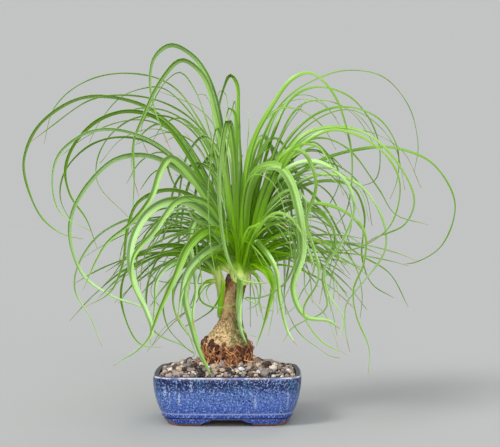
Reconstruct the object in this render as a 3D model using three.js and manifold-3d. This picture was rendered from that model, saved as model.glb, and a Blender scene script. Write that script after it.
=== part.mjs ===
// A ponytail palm in a rectangular bonsai pot, in millimetres, +Z up.
// The origin is the middle of the pot on the surface that it stands on; -Y is the front.
import * as THREE from 'three';
import { mergeVertices } from 'three/addons/utils/BufferGeometryUtils.js';
import Module from 'manifold-3d';

const manifold = await Module();
manifold.setup();

// Clearance between pieces that touch
const fit = 0.3;

// Pot: half widths of its outer wall by height
const potProfile = [
  [0, 61.4], [1.6, 62.6], [7.5, 66.2], [8.4, 66], [9.4, 67.7], [13, 68.2], [14, 68.7],
  [25, 72.9], [35.5, 75.3], [46, 76.4], [50.6, 76.2], [52, 74.8],
];
const potHeight = 52;
const potSideBow = 1.6;
const potCornerRadius = 20;
const potCornerSteps = 5;
const potSideSteps = 3;
const potNarrower = 17.5;
const wallThickness = 5;
const potFloor = 12.5;
const floorFillet = 3;
const innerHeights = [potFloor + floorFillet, 25, 38, 48.5];
const footGap = { across: 54, along: 36, height: 7.4, lobe: 5, scoop: 11 };
const drainHole = { x: 30, radius: 6 };
const screen = { side: 21, thickness: 1, holes: 3, holeSide: 4.6, pitch: 6.4 };

// Soil: height at the wall, and the heap that rises from the walls to the trunk
const soilEdgeHeight = 50;
const soilMound = { rise: 11.5, halfAcross: 71, halfAlong: 53, unevenness: 0.6 };
const stoneCount = 50;
const stoneSize = [2, 4.6];
const rootHoleMargin = 3.2;

// Trunk: [height, centre x, radius], from the buried root crown to the neck
const trunkProfile = [
  [24, 0.5, 9], [38, 1, 17], [52, 1.2, 21], [62, 0.6, 23], [70, -0.8, 25.6],
  [79, -1.4, 25.8], [88, -0.6, 21.2], [95, 0.8, 16.6], [102, 2, 13.8], [112, 3.6, 11.6],
  [125, 5, 10.8], [136, 7.4, 10.6], [143, 8.9, 9.6],
];
const trunkSides = 18;
const knobCount = 11;
const knobSize = [4, 6.4];
const rootletCount = 7;
const rootletSpacing = 0.62;
const rootletRadius = 1.1;
const rootCrownX = -1.6;
const rootCrownRadius = 25.6;
const scar = { x: 2.4, y: 1.5, z: 144, radius: 6.6, stretch: 1.7 };

// Heads of leaves: centres of the sheath cones, [height, x, y, radius]
const mainSheath = [[143.3, 12, 0, 9.4], [152, 12.2, 0, 10.6], [166, 12.6, 0, 12], [186, 13, 0, 13],
  [202, 13, 0, 9], [210, 13, 0, 3]];
const sideSheath = [[108, -9.7, -3, 2], [124, -7.6, -4.5, 2.8], [137, -7.2, -6.5, 3.9], [148, -9, -8.4, 5.4],
  [157, -10, -9.4, 4.8], [163, -10, -10, 2.4]];
const sheathSides = 10;

// Blades: steps are about this long, and shorter where a blade bends
const bladeStep = 34;
const bendWeight = 30;
const keelDepth = 0.75;

// Detail finer than this is dropped from a joined solid
const finest = 0.1;

// The photograph frame is 500 by 447 pixels. These turn a pixel and a depth into millimetres.
const photo = { centreX: 250, centreY: 223.5, focal: 1059 };
const eye = { x: 23.5, z: 208, distance: 1130.5 };

// How far a blade shows its face: degrees at its root, middle and tip, where 0 is edge-on
const edgeOn = [45, 20, 25];
const slanted = [60, 32, 35];
const broad = [80, 75, 55];

// Blades of the main head: width, depth at the middle and the tip, face, and a route in the
// photograph frame, root to tip, as pairs of across and down.
const mainBlades = [
  [7, [85, 140], slanted, [240, 272, 226, 225, 207, 178, 184, 140, 150, 109, 112, 97, 78, 99, 40, 124,
    24, 158, 27, 186, 42, 218, 62, 234, 83, 239]],
  [5, [55, 90], edgeOn, [238, 270, 228, 215, 208, 138, 172, 106, 128, 95, 90, 100, 53, 125, 29, 143]],
  [5, [80, 130], edgeOn, [241, 268, 233, 215, 222, 172, 198, 118, 170, 84, 127, 73, 84, 82, 54, 108,
    44, 144]],
  [9, [-10, -20], slanted, [238, 272, 231, 215, 217, 105, 206, 74, 192, 55, 171, 45, 155, 56, 150, 76,
    153, 104, 172, 154]],
  [8, [-20, -50], slanted, [240, 275, 225, 170, 215, 110, 202, 74, 182, 60, 161, 80, 143, 117, 134, 140,
    134, 175, 133, 210]],
  [3, [5, -10], edgeOn, [240, 276, 228, 215, 212, 140, 195, 90, 180, 72, 165, 82, 148, 112, 133, 142,
    132, 171, 139, 197]],
  [7, [-10, -20], slanted, [238, 276, 222, 225, 190, 158, 160, 120, 128, 111, 97, 121, 75, 143, 65, 170,
    70, 195, 86, 219, 97, 248]],
  [4, [35, 55], edgeOn, [239, 272, 226, 220, 200, 140, 170, 117, 135, 118, 111, 134, 97, 160, 98, 184,
    128, 217]],
  [6, [-45, -60], slanted, [238, 280, 217, 205, 188, 171, 155, 143, 119, 130, 86, 133, 59, 154, 52, 180,
    60, 212, 92, 232]],
  [5, [75, 125], slanted, [240, 268, 231, 215, 202, 138, 172, 113, 142, 108, 112, 115]],
  [8, [-35, -70], slanted, [237, 280, 211, 204, 183, 173, 150, 156, 116, 159, 90, 182, 73, 210, 70, 240,
    84, 276, 112, 296, 144, 308, 158, 319]],
  [6, [25, 35], edgeOn, [237, 278, 213, 208, 184, 170, 148, 142, 117, 137, 87, 147, 65, 171, 60, 198,
    72, 224]],
  [3.5, [100, 144], edgeOn, [241, 270, 218, 165, 192, 115, 165, 89, 150, 87, 121, 97, 100, 121, 89, 143]],
  [3.5, [60, 100], edgeOn, [239, 274, 210, 182, 176, 135, 145, 120, 112, 124, 84, 138, 62, 155]],
  [5, [60, 95], slanted, [237, 276, 205, 180, 172, 130, 158, 124, 144, 132, 136, 144]],
  [2, [40, 60], edgeOn, [240, 276, 218, 200, 190, 150, 160, 120, 146, 117, 141, 135, 148, 154]],
  [8, [70, 140], slanted, [242, 272, 241, 200, 238, 120, 237, 84, 230, 75, 223, 90, 218, 115, 218, 155]],
  [3, [30, 60], edgeOn, [240, 272, 237, 200, 236, 120, 235, 101, 229, 119]],
  [3, [60, 90], edgeOn, [240, 274, 225, 180, 214, 125, 211, 105, 204, 94, 197, 95]],
  [3, [90, 140], edgeOn, [240, 274, 228, 190, 215, 127, 198, 108, 178, 98, 158, 91]],
  [8, [-62, -80], slanted, [238, 270, 236, 200, 233, 150, 228, 120, 221, 155, 219, 190, 222, 230, 229, 262,
    240, 279, 255, 283, 268, 283]],
  [9, [-75, -100], broad, [236, 268, 222, 232, 192, 204, 170, 201, 150, 211, 134, 236, 130, 260, 135, 285,
    148, 315, 152, 332, 140, 348, 113, 366]],
  [9, [-45, -80], broad, [238, 280, 228, 240, 200, 188, 180, 164, 170, 158, 161, 170, 151, 198, 130, 224,
    105, 245, 83, 290]],
  [9, [-62, -80], broad, [236, 262, 228, 247, 217, 246, 200, 256, 186, 274, 181, 296, 178, 318]],
  [9, [-48, -50], broad, [238, 266, 230, 252, 219, 249, 203, 257, 189, 274, 185, 296, 191, 322, 199, 350,
    208, 369]],
  [7, [-30, -60], broad, [236, 270, 222, 240, 206, 222, 195, 221, 190, 240, 193, 262, 196, 290, 193, 312,
    194, 330]],
  [10, [-92, -112], broad, [238, 262, 226, 236, 208, 230, 190, 245, 176, 275, 160, 310, 148, 339]],
  [5, [0, -20], slanted, [236, 275, 222, 248, 187, 229, 150, 220, 130, 219, 99, 235, 78, 265, 75, 290,
    92, 321, 102, 347]],
  [7, [-50, -85], slanted, [236, 270, 220, 232, 192, 196, 165, 190, 138, 202, 127, 230, 122, 266, 110, 292,
    85, 307]],
  [7, [-60, -110], broad, [237, 268, 212, 208, 196, 199, 178, 201, 154, 232, 134, 256, 132, 280, 144, 308]],
  [6, [30, 50], slanted, [238, 276, 213, 206, 184, 168, 168, 161, 172, 180, 194, 214]],
  [5, [-60, -85], slanted, [237, 272, 222, 245, 205, 226, 193, 218, 187, 209, 178, 208, 164, 221]],
  [5, [-55, -80], slanted, [236, 266, 218, 240, 196, 240, 180, 262, 173, 290, 175, 312, 187, 331,
    197, 357]],
  [4, [35, 60], edgeOn, [236, 268, 226, 244, 213, 246, 202, 268, 188, 309, 172, 324, 147, 351]],
  [4, [45, 20], edgeOn, [236, 270, 200, 232, 172, 240, 152, 270, 146, 300, 150, 325, 160, 336, 181, 345,
    195, 355, 190, 358]],
  [2.5, [60, 85], edgeOn, [236, 270, 214, 236, 186, 236, 164, 262, 152, 284, 151, 294, 160, 307]],
  [3, [20, 30], edgeOn, [238, 280, 222, 246, 192, 226, 160, 222, 130, 232, 105, 244, 84, 257]],
  [7, [-33, -38], broad, [239, 268, 240, 285, 239, 312, 241, 330, 247, 344]],
  [2.5, [-40, -52], edgeOn, [240, 270, 241, 295, 239, 320, 246, 333, 256, 337]],
  [8, [-25, -45], slanted, [243, 272, 245, 180, 255, 137, 272, 106, 292, 79, 310, 73, 331, 90, 346, 126,
    352, 165, 346, 211, 330, 231]],
  [5, [45, 90], edgeOn, [242, 268, 256, 165, 267, 128, 283, 102, 312, 81, 350, 70, 385, 78, 409, 107,
    418, 145, 414, 172]],
  [5, [30, 55], slanted, [244, 270, 252, 218, 274, 132, 294, 96, 318, 87, 347, 95, 370, 120, 380, 154,
    375, 180, 355, 187]],
  [3, [105, 146], edgeOn, [243, 268, 260, 165, 280, 109, 300, 95, 321, 101, 346, 135]],
  [3, [80, 140], edgeOn, [243, 270, 258, 170, 280, 107, 304, 99, 322, 104, 337, 119]],
  [5, [5, 5], slanted, [244, 275, 266, 185, 290, 137, 320, 112, 348, 107, 378, 118, 397, 147, 397, 180,
    390, 199]],
  [4, [65, 100], edgeOn, [244, 272, 268, 182, 295, 138, 325, 115, 352, 110, 378, 125, 396, 150, 405, 190]],
  [7, [-20, -50], slanted, [244, 275, 270, 190, 300, 138, 330, 127, 365, 133, 393, 157, 414, 198, 405, 224,
    374, 238, 359, 248]],
  [6, [-45, -90], slanted, [243, 278, 268, 200, 298, 148, 332, 130, 365, 139, 392, 163, 400, 190, 388, 228,
    349, 250, 316, 241]],
  [6, [0, 0], slanted, [244, 280, 272, 205, 309, 167, 350, 151, 395, 148, 434, 165, 455, 205, 441, 246,
    416, 262, 402, 264]],
  [5, [50, 85], slanted, [243, 274, 266, 190, 300, 144, 322, 138, 348, 149, 378, 188, 395, 214, 428, 225]],
  [3, [90, 130], edgeOn, [243, 272, 269, 186, 305, 139, 345, 129, 378, 135, 404, 153, 421, 188]],
  [6, [-30, -70], slanted, [243, 278, 272, 212, 300, 182, 328, 174, 358, 184, 381, 215, 385, 250, 364, 281,
    346, 305, 346, 335, 350, 352]],
  [6, [-60, -100], slanted, [242, 278, 268, 225, 300, 205, 335, 207, 363, 229, 364, 262, 353, 290, 356, 315,
    369, 350, 368, 374]],
  [6, [70, 110], slanted, [241, 278, 280, 200, 322, 181, 352, 187, 364, 212, 362, 258, 372, 284, 394, 298]],
  [8, [-55, -110], slanted, [244, 276, 264, 198, 290, 167, 318, 162, 346, 182, 354, 208, 342, 242, 325, 268,
    328, 293, 344, 320, 338, 340]],
  [7, [-80, -146], slanted, [243, 274, 266, 185, 286, 152, 302, 151, 316, 184, 306, 222, 314, 249, 318, 280,
    303, 311, 320, 340, 347, 355]],
  [6, [-50, -100], slanted, [242, 278, 266, 210, 290, 190, 304, 197, 306, 226, 316, 254, 322, 278]],
  [6, [-70, -120], slanted, [241, 280, 256, 233, 276, 213, 293, 220, 309, 250, 314, 266]],
  [6, [-35, -60], slanted, [241, 278, 258, 237, 280, 221, 297, 227, 308, 250, 313, 272]],
  [6, [45, 70], slanted, [241, 278, 256, 241, 272, 228, 287, 239, 289, 262, 284, 292, 286, 315]],
  [2.5, [60, 100], edgeOn, [242, 278, 250, 256, 262, 244, 282, 238, 296, 240]],
  [7, [-50, -95], broad, [240, 275, 243, 250, 249, 238, 262, 247, 276, 270, 280, 300, 288, 332, 297, 346]],
  [9, [-38, -62], broad, [243, 272, 251, 261, 264, 265, 273, 282, 268, 310, 256, 347]],
  [7, [-20, -35], broad, [243, 275, 252, 266, 264, 272, 272, 288]],
  [4, [-15, -30], slanted, [244, 278, 252, 273, 260, 285, 257, 304, 247, 309]],
  [5, [-50, -62], slanted, [242, 276, 252, 240, 275, 218, 294, 227, 297, 255, 283, 285, 258, 298, 243, 297,
    256, 304, 274, 312]],
  [10, [-72, -100], broad, [242, 272, 249, 188, 260, 169, 276, 166, 290, 180, 303, 250, 293, 288, 305, 316,
    328, 327, 313, 322]],
  [6, [55, 95], slanted, [243, 276, 270, 208, 298, 186, 325, 208, 348, 246, 390, 274, 408, 307]],
  [2, [95, 140], edgeOn, [243, 276, 275, 222, 309, 220, 343, 233, 361, 244]],
  [7, [-50, -110], slanted, [243, 276, 272, 185, 295, 147, 316, 146, 338, 176]],
];

// Blades of the side head, in the same form
const sideBlades = [
  [5, [-40, -72], slanted, [219, 277, 210, 258, 190, 247, 160, 245, 131, 262, 121, 290, 125, 318,
    140, 344, 162, 348]],
  [4, [-34, -50], slanted, [219, 277, 212, 258, 198, 251, 172, 259, 149, 279, 144, 303]],
  [6, [-48, -75], broad, [219, 277, 207, 261, 192, 257, 170, 265, 157, 280, 155, 305, 150, 345]],
  [6, [-24, -40], broad, [220, 274, 224, 283, 214, 307, 202, 317, 184, 327]],
  [4, [-26, -31], slanted, [219, 280, 207, 281, 199, 290, 201, 301, 212, 307, 229, 307, 235, 304]],
  [2.5, [-16, -20], edgeOn, [218, 282, 211, 284, 206, 292, 210, 304]],
  [2.5, [-20, -30], edgeOn, [219, 279, 205, 283, 190, 283, 175, 282, 160, 281, 143, 268]],
];
const sideFan = { count: 11, root: [219, 276], from: -64, to: -10, reach: [42, 70],
  depth: [-24, -12], droop: [6, 22], width: [2.6, 4.2] };

// Blades that arch away behind the trunk: spread in degrees to each side of straight back
const backFan = { count: 13, rootX: 12, rootZ: 158, spread: 62, reach: [88, 142], top: [88, 168],
  drop: [80, 190], width: [5, 8] };

// Seeded draws, the same on every run
function seededDraws(seed) {
  let state = seed;
  return (low, high) => {
    state = (Math.imul(state, 1664525) + 1013904223) >>> 0;
    return low + (high - low) * (state / 4294967296);
  };
}

// Three.js geometry to a solid that can be joined or cut
function toSolid(geometry) {
  const bare = geometry.clone();
  bare.deleteAttribute('normal');
  bare.deleteAttribute('uv');
  const merged = mergeVertices(bare, 1e-4);
  return new manifold.Manifold(new manifold.Mesh({
    numProp: 3,
    vertProperties: new Float32Array(merged.attributes.position.array),
    triVerts: new Uint32Array(merged.index.array),
  }));
}

// The largest body of a solid, as a named mesh
function toMesh(name, solid, color, roughness) {
  const bodies = solid.simplify(finest).decompose().sort((a, b) => b.volume() - a.volume());
  const { vertProperties, triVerts } = bodies[0].getMesh();
  const geometry = new THREE.BufferGeometry();
  geometry.setAttribute('position', new THREE.BufferAttribute(vertProperties, 3));
  geometry.setIndex(new THREE.BufferAttribute(triVerts, 1));
  geometry.computeVertexNormals();
  const mesh = new THREE.Mesh(geometry, new THREE.MeshStandardMaterial({ color, roughness, metalness: 0 }));
  mesh.name = name;
  return mesh;
}

function joinAll(solids) {
  return solids.reduce((all, next) => all.add(next));
}

function middleOf(points) {
  return points.reduce((sum, p) => sum.add(p), new THREE.Vector3()).divideScalar(points.length);
}

// A closed skin over rings of points that all have the same count.
// Each facet folds outward, so the walls of a twisted length stay apart
function skin(rings) {
  const sides = rings[0].length;
  const positions = rings.flat().flatMap((p) => [p.x, p.y, p.z]);
  const index = [];
  for (let r = 0; r + 1 < rings.length; r += 1) {
    const core = middleOf([...rings[r], ...rings[r + 1]]);
    for (let s = 0; s < sides; s += 1) {
      const next = (s + 1) % sides;
      const a = r * sides + s;
      const b = r * sides + next;
      const fromA = middleOf([rings[r][s], rings[r + 1][next]]).distanceTo(core);
      const fromB = middleOf([rings[r][next], rings[r + 1][s]]).distanceTo(core);
      if (fromA > fromB) {
        index.push(a, b, b + sides, a, b + sides, a + sides);
      } else {
        index.push(a, b, a + sides, b, b + sides, a + sides);
      }
    }
  }
  const last = (rings.length - 1) * sides;
  for (let s = 1; s + 1 < sides; s += 1) {
    index.push(0, s + 1, s, last, last + s, last + s + 1);
  }
  const geometry = new THREE.BufferGeometry();
  geometry.setAttribute('position', new THREE.Float32BufferAttribute(positions, 3));
  geometry.setIndex(index);
  return geometry;
}

// A rounded rectangle with slightly bowed sides, counter-clockwise
function potRing(halfWidth, z, inset = 0) {
  const halfX = halfWidth - inset;
  const halfY = halfWidth - potNarrower - inset;
  const radius = Math.max(potCornerRadius - inset, 4);
  const points = [];
  for (let corner = 0; corner < 4; corner += 1) {
    const signX = corner === 0 || corner === 3 ? 1 : -1;
    const signY = corner < 2 ? 1 : -1;
    const centre = new THREE.Vector2(signX * (halfX - radius), signY * (halfY - radius));
    for (let step = 0; step <= potCornerSteps; step += 1) {
      const angle = (corner + step / potCornerSteps) * Math.PI / 2;
      points.push(new THREE.Vector2(
        centre.x + radius * Math.cos(angle),
        centre.y + radius * Math.sin(angle),
      ));
    }
    const end = points[points.length - 1];
    const horizontal = corner % 2 === 0;
    const run = horizontal ? -signX * 2 * (halfX - radius) : -signY * 2 * (halfY - radius);
    for (let step = 1; step < potSideSteps; step += 1) {
      const t = step / potSideSteps;
      const out = potSideBow * 4 * t * (1 - t);
      points.push(horizontal
        ? new THREE.Vector2(end.x + run * t, end.y + signY * out)
        : new THREE.Vector2(end.x + signX * out, end.y + run * t));
    }
  }
  return points.map((p) => new THREE.Vector3(p.x, p.y, z));
}

function potHalfWidthAt(z) {
  const above = potProfile.findIndex(([height]) => height >= z);
  const [z1, w1] = potProfile[above];
  const [z0, w0] = potProfile[Math.max(above - 1, 0)];
  return z1 === z0 ? w1 : w0 + (w1 - w0) * (z - z0) / (z1 - z0);
}

// A scooped arch that is cut through under the pot, along one axis
function footArch(gap, turn) {
  const { height, lobe, scoop } = footGap;
  const halfGap = gap / 2;
  const length = 4 * potProfile[0][1];
  const shape = new THREE.Shape();
  shape.moveTo(-halfGap, -fit);
  shape.lineTo(-halfGap, 0);
  shape.quadraticCurveTo(lobe / 5 - halfGap, height * 0.55, lobe - halfGap, height * 0.6);
  shape.quadraticCurveTo(scoop * 0.8 - halfGap, height * 0.65, scoop - halfGap, height);
  shape.lineTo(halfGap - scoop, height);
  shape.quadraticCurveTo(halfGap - scoop * 0.8, height * 0.65, halfGap - lobe, height * 0.6);
  shape.quadraticCurveTo(halfGap - lobe / 5, height * 0.55, halfGap, 0);
  shape.lineTo(halfGap, -fit);
  const arch = new THREE.ExtrudeGeometry(shape, { depth: length, bevelEnabled: false, curveSegments: 3 });
  arch.translate(0, 0, -length / 2);
  arch.rotateX(Math.PI / 2);
  arch.rotateZ(turn);
  return toSolid(arch);
}

// Rings of the pot's inside, or of what fills it, up to the height given
function insideRings(inset, floor, heights) {
  const bottom = potRing(potHalfWidthAt(floor), floor, inset + floorFillet);
  return [bottom, ...heights.map((z) => potRing(potHalfWidthAt(z), z, inset))];
}

function makePot() {
  const outer = skin(potProfile.map(([z, halfWidth]) => potRing(halfWidth, z)));
  const inner = insideRings(wallThickness, potFloor, innerHeights);
  const rimEdge = potHeight - 1.2;
  inner.push(potRing(potHalfWidthAt(rimEdge), rimEdge, wallThickness - 0.2));
  inner.push(potRing(potHalfWidthAt(rimEdge), potHeight + 1, wallThickness - 2));
  let pot = toSolid(outer).subtract(toSolid(skin(inner)));
  pot = pot.subtract(footArch(footGap.across, 0)).subtract(footArch(footGap.along, Math.PI / 2));
  for (const side of [-1, 1]) {
    const hole = new THREE.CylinderGeometry(drainHole.radius, drainHole.radius, 2 * potFloor, 20);
    hole.rotateX(Math.PI / 2);
    hole.translate(side * drainHole.x, 0, potFloor);
    pot = pot.subtract(toSolid(hole));
  }
  return pot;
}

// Drain screen: a square plate with a grid of holes
function makeScreen(x) {
  const { side, thickness, holes, holeSide, pitch } = screen;
  const centreZ = potFloor + fit + thickness / 2;
  const plate = new THREE.BoxGeometry(side, side, thickness);
  plate.translate(x, 0, centreZ);
  let solid = toSolid(plate);
  const middle = (holes - 1) / 2;
  for (let i = 0; i < holes * holes; i += 1) {
    const column = i % holes;
    const row = Math.floor(i / holes);
    const cutter = new THREE.BoxGeometry(holeSide, holeSide, thickness * 3);
    cutter.translate(x + (column - middle) * pitch, (row - middle) * pitch, centreZ);
    solid = solid.subtract(toSolid(cutter));
  }
  return solid;
}

function soilHeight(x, y) {
  const towardsWall = Math.sqrt((x / soilMound.halfAcross) ** 4 + (y / soilMound.halfAlong) ** 4);
  const mound = soilMound.rise * Math.max(1 - towardsWall, 0);
  const grit = soilMound.unevenness * Math.sin(x * 0.31 + 1.1) * Math.cos(y * 0.37 + 0.4);
  return soilEdgeHeight + mound + grit;
}

function makeStone(x, y, size, draw) {
  const stone = new THREE.IcosahedronGeometry(size, 0);
  stone.scale(1, draw(0.7, 0.95), draw(0.55, 0.8));
  stone.rotateX(draw(-0.4, 0.4));
  stone.rotateZ(draw(0, Math.PI));
  stone.translate(x, y, soilHeight(x, y) + size * 0.22);
  return toSolid(stone);
}

// Gritty soil: a filling with a mounded top, and stones bedded in it
function makeSoil() {
  const inset = wallThickness + 2 * fit;
  const edge = potRing(potHalfWidthAt(soilEdgeHeight), 0, inset);
  const rings = insideRings(inset, potFloor + fit, innerHeights.slice(0, -1));
  for (const scale of [1, 0.9, 0.76, 0.62, 0.48, 0.34, 0.2, 0.06]) {
    rings.push(edge.map((p) => (
      new THREE.Vector3(p.x * scale, p.y * scale, soilHeight(p.x * scale, p.y * scale))
    )));
  }
  const draw = seededDraws(7);
  const rootlets = rootletPaths().flatMap((path) => path.getPoints(12));
  const stones = [];
  while (stones.length < stoneCount) {
    const size = draw(...stoneSize);
    const spot = edge[Math.floor(draw(0, edge.length))];
    const reach = Math.sqrt(draw(0.12, 1)) * (1 - (size + 5 * fit) / spot.length());
    const x = spot.x * reach;
    const y = spot.y * reach;
    const clearance = size + rootletRadius + fit;
    const stone = makeStone(x, y, size, draw);
    if (rootlets.every((p) => Math.hypot(p.x - x, p.y - y) > clearance)) stones.push(stone);
  }
  let soil = toSolid(skin(rings)).add(joinAll(stones));
  for (const side of [-1, 1]) {
    const size = screen.side + 2 * fit;
    const recess = new THREE.BoxGeometry(size, size, 2 * (screen.thickness + 2 * fit));
    recess.translate(side * drainHole.x, 0, potFloor + fit);
    soil = soil.subtract(toSolid(recess));
  }
  return soil.subtract(makeTrunkBody(rootHoleMargin));
}

// Root knobs stand out round the root crown, and rootlets run from them over the soil
function knobPlaces() {
  const draw = seededDraws(23);
  return Array.from({ length: knobCount }, (_, i) => {
    const angle = (i / knobCount) * Math.PI * 2 + draw(-0.12, 0.12);
    const size = draw(...knobSize);
    return { angle, size, z: draw(70, 76), out: rootCrownRadius - size * 0.42, lean: draw(-0.5, 0.5) };
  });
}

function rootletPaths() {
  const draw = seededDraws(41);
  return Array.from({ length: rootletCount }, (_, i) => {
    const angle = -Math.PI / 2 + (i - (rootletCount - 1) / 2) * rootletSpacing + draw(-0.1, 0.1);
    const points = [[20, 78], [27, 74], [30.5, 68], [34, 0], [39, 0]].map(([radius, z], step) => {
      const turned = angle + step * draw(-0.07, 0.09);
      const x = radius * Math.cos(turned) + rootCrownX;
      const y = radius * Math.sin(turned);
      return new THREE.Vector3(x, y, z || soilHeight(x, y) + rootletRadius + 2 * fit);
    });
    return new THREE.CatmullRomCurve3(points);
  });
}

// The trunk and root crown without knobs, wider by extra all round
function makeTrunkBody(extra) {
  const rings = trunkProfile.map(([z, centreX, radius], level) => (
    Array.from({ length: trunkSides }, (_, s) => {
      const angle = (s / trunkSides) * Math.PI * 2;
      const lobes = z < 100 ? 0.035 * Math.sin(3 * angle + z * 0.05) + 0.02 * Math.sin(7 * angle) : 0;
      const r = radius * (1 + lobes) + extra;
      const bottom = level === 0 ? -extra : 0;
      return new THREE.Vector3(centreX + r * Math.cos(angle), r * Math.sin(angle), z + bottom);
    })
  ));
  return toSolid(skin(rings));
}

function makeKnob({ angle, size, z, out, lean }) {
  const knob = new THREE.IcosahedronGeometry(size, 1);
  knob.scale(0.8, 1, 1.25);
  knob.rotateX(lean);
  knob.translate(out, 0, z);
  knob.rotateZ(angle);
  knob.translate(rootCrownX, 0, 0);
  return toSolid(knob);
}

function makeRootlet(path) {
  const sides = 5;
  const section = new THREE.Shape(Array.from({ length: sides }, (_, s) => {
    const angle = (s / sides) * Math.PI * 2;
    return new THREE.Vector2(Math.cos(angle), Math.sin(angle)).multiplyScalar(rootletRadius);
  }));
  return toSolid(new THREE.ExtrudeGeometry(section, { steps: 7, extrudePath: path }));
}

function makeTrunk() {
  const stub = new THREE.IcosahedronGeometry(scar.radius, 1);
  stub.scale(0.9, 1, scar.stretch);
  stub.translate(scar.x, scar.y, scar.z);
  return joinAll([
    makeTrunkBody(0),
    ...knobPlaces().map(makeKnob),
    ...rootletPaths().map(makeRootlet),
    toSolid(stub),
  ]);
}

function makeSheath(profile, extra = 0) {
  return toSolid(skin(profile.map(([z, x, y, radius], level) => (
    Array.from({ length: sheathSides }, (_, s) => {
      const angle = (s / sheathSides) * Math.PI * 2;
      const r = radius + extra;
      const end = level === 0 ? -extra : level === profile.length - 1 ? extra : 0;
      return new THREE.Vector3(x + r * Math.cos(angle), y + r * Math.sin(angle), z + end);
    })
  ))));
}

// A point of the photograph frame at a depth, in millimetres
function photoPoint(across, down, depth) {
  const scale = (eye.distance + depth) / photo.focal;
  const x = (across - photo.centreX) * scale + eye.x;
  return new THREE.Vector3(x, depth, eye.z + (photo.centreY - down) * scale);
}

function middleCurve(t, [atRoot, atMiddle, atTip]) {
  return atRoot * (1 - t) * (1 - 2 * t) + atMiddle * 4 * t * (1 - t) + atTip * t * (2 * t - 1);
}

// A blade's route from its pixels; its root lies rootDepth behind the axis plane
function photoRoute(pixels, depths, rootDepth) {
  const count = pixels.length / 2;
  const flat = Array.from({ length: count }, (_, i) => new THREE.Vector2(pixels[2 * i], pixels[2 * i + 1]));
  const lengths = flat.map((p, i) => (i ? p.distanceTo(flat[i - 1]) : 0));
  const total = lengths.reduce((a, b) => a + b);
  let run = 0;
  return flat.map((p, i) => {
    run += lengths[i];
    return photoPoint(p.x, p.y, middleCurve(run / total, [rootDepth, ...depths]));
  });
}

// Places along a curve, closer together where it bends
function bladeStations(curve) {
  const samples = 160;
  const points = curve.getPoints(samples);
  const tangents = Array.from({ length: samples + 1 }, (_, i) => curve.getTangent(i / samples));
  const weights = [0];
  for (let i = 1; i <= samples; i += 1) {
    const bend = tangents[i].angleTo(tangents[i - 1]) * bendWeight;
    weights.push(weights[i - 1] + points[i].distanceTo(points[i - 1]) + bend);
  }
  const steps = Math.max(5, Math.round(weights[samples] / bladeStep));
  const stations = [];
  for (let s = 0, i = 0; s <= steps; s += 1) {
    const goal = weights[samples] * s / steps;
    while (i < samples && weights[i] < goal - 1e-9) i += 1;
    stations.push({ point: points[i], tangent: tangents[i], t: i / samples });
  }
  return stations;
}

function bladeWidth(t, width) {
  const taper = 1 - 0.9 * t ** 2.4;
  return Math.max(width * taper, 0.8);
}

// A keeled blade: a three-sided section, flat above, that turns as its face does
function makeBlade(points, width, face) {
  const curve = new THREE.CatmullRomCurve3(points, false, 'centripetal');
  const view = new THREE.Vector3(0, 1, 0);
  let lastDeep = null;
  const rings = bladeStations(curve).map(({ point, tangent, t }) => {
    const deep = view.clone().addScaledVector(tangent, -view.dot(tangent)).normalize();
    if (lastDeep && deep.dot(lastDeep) < 0) deep.negate();
    lastDeep = deep.clone();
    const flat = new THREE.Vector3().crossVectors(tangent, deep);
    const angle = THREE.MathUtils.degToRad(middleCurve(t, face));
    const across = deep.multiplyScalar(Math.cos(angle)).addScaledVector(flat, Math.sin(angle));
    const up = new THREE.Vector3().crossVectors(across, tangent);
    const halfWidth = bladeWidth(t, width) / 2;
    const keel = keelDepth + halfWidth * 0.18;
    return [
      point.clone().addScaledVector(across, halfWidth),
      point.clone().addScaledVector(across, -halfWidth),
      point.clone().addScaledVector(up, keel),
    ];
  });
  const solid = toSolid(skin(rings));
  return solid.volume() > 0 ? solid : toSolid(skin(rings.map((ring) => ring.slice().reverse())));
}

function makeMainHead() {
  const parts = [makeSheath(mainSheath)];
  for (const [width, depths, face, pixels] of mainBlades) {
    parts.push(makeBlade(photoRoute(pixels, depths, 0), width, face));
  }
  const draw = seededDraws(11);
  for (let i = 0; i < backFan.count; i += 1) {
    const side = (i / (backFan.count - 1)) * 2 - 1;
    const angle = THREE.MathUtils.degToRad(90 - side * backFan.spread + draw(-5, 5));
    const reach = draw(...backFan.reach);
    const top = draw(...backFan.top);
    const drop = draw(...backFan.drop);
    const tipRise = 1 - drop / top;
    const arc = [[0.02, -0.06], [0.12, 0.5], [0.3, 0.88], [0.52, 1], [0.78, 0.84], [0.96, 0.3], [1, tipRise]];
    const points = arc.map(([out, rise]) => new THREE.Vector3(
      backFan.rootX + Math.cos(angle) * reach * out,
      Math.sin(angle) * reach * out,
      backFan.rootZ + top * rise,
    ));
    const turned = 90 - Math.abs(side) * backFan.spread;
    parts.push(makeBlade(points, draw(...backFan.width), [60, turned, turned]));
  }
  return joinAll(parts);
}

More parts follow.
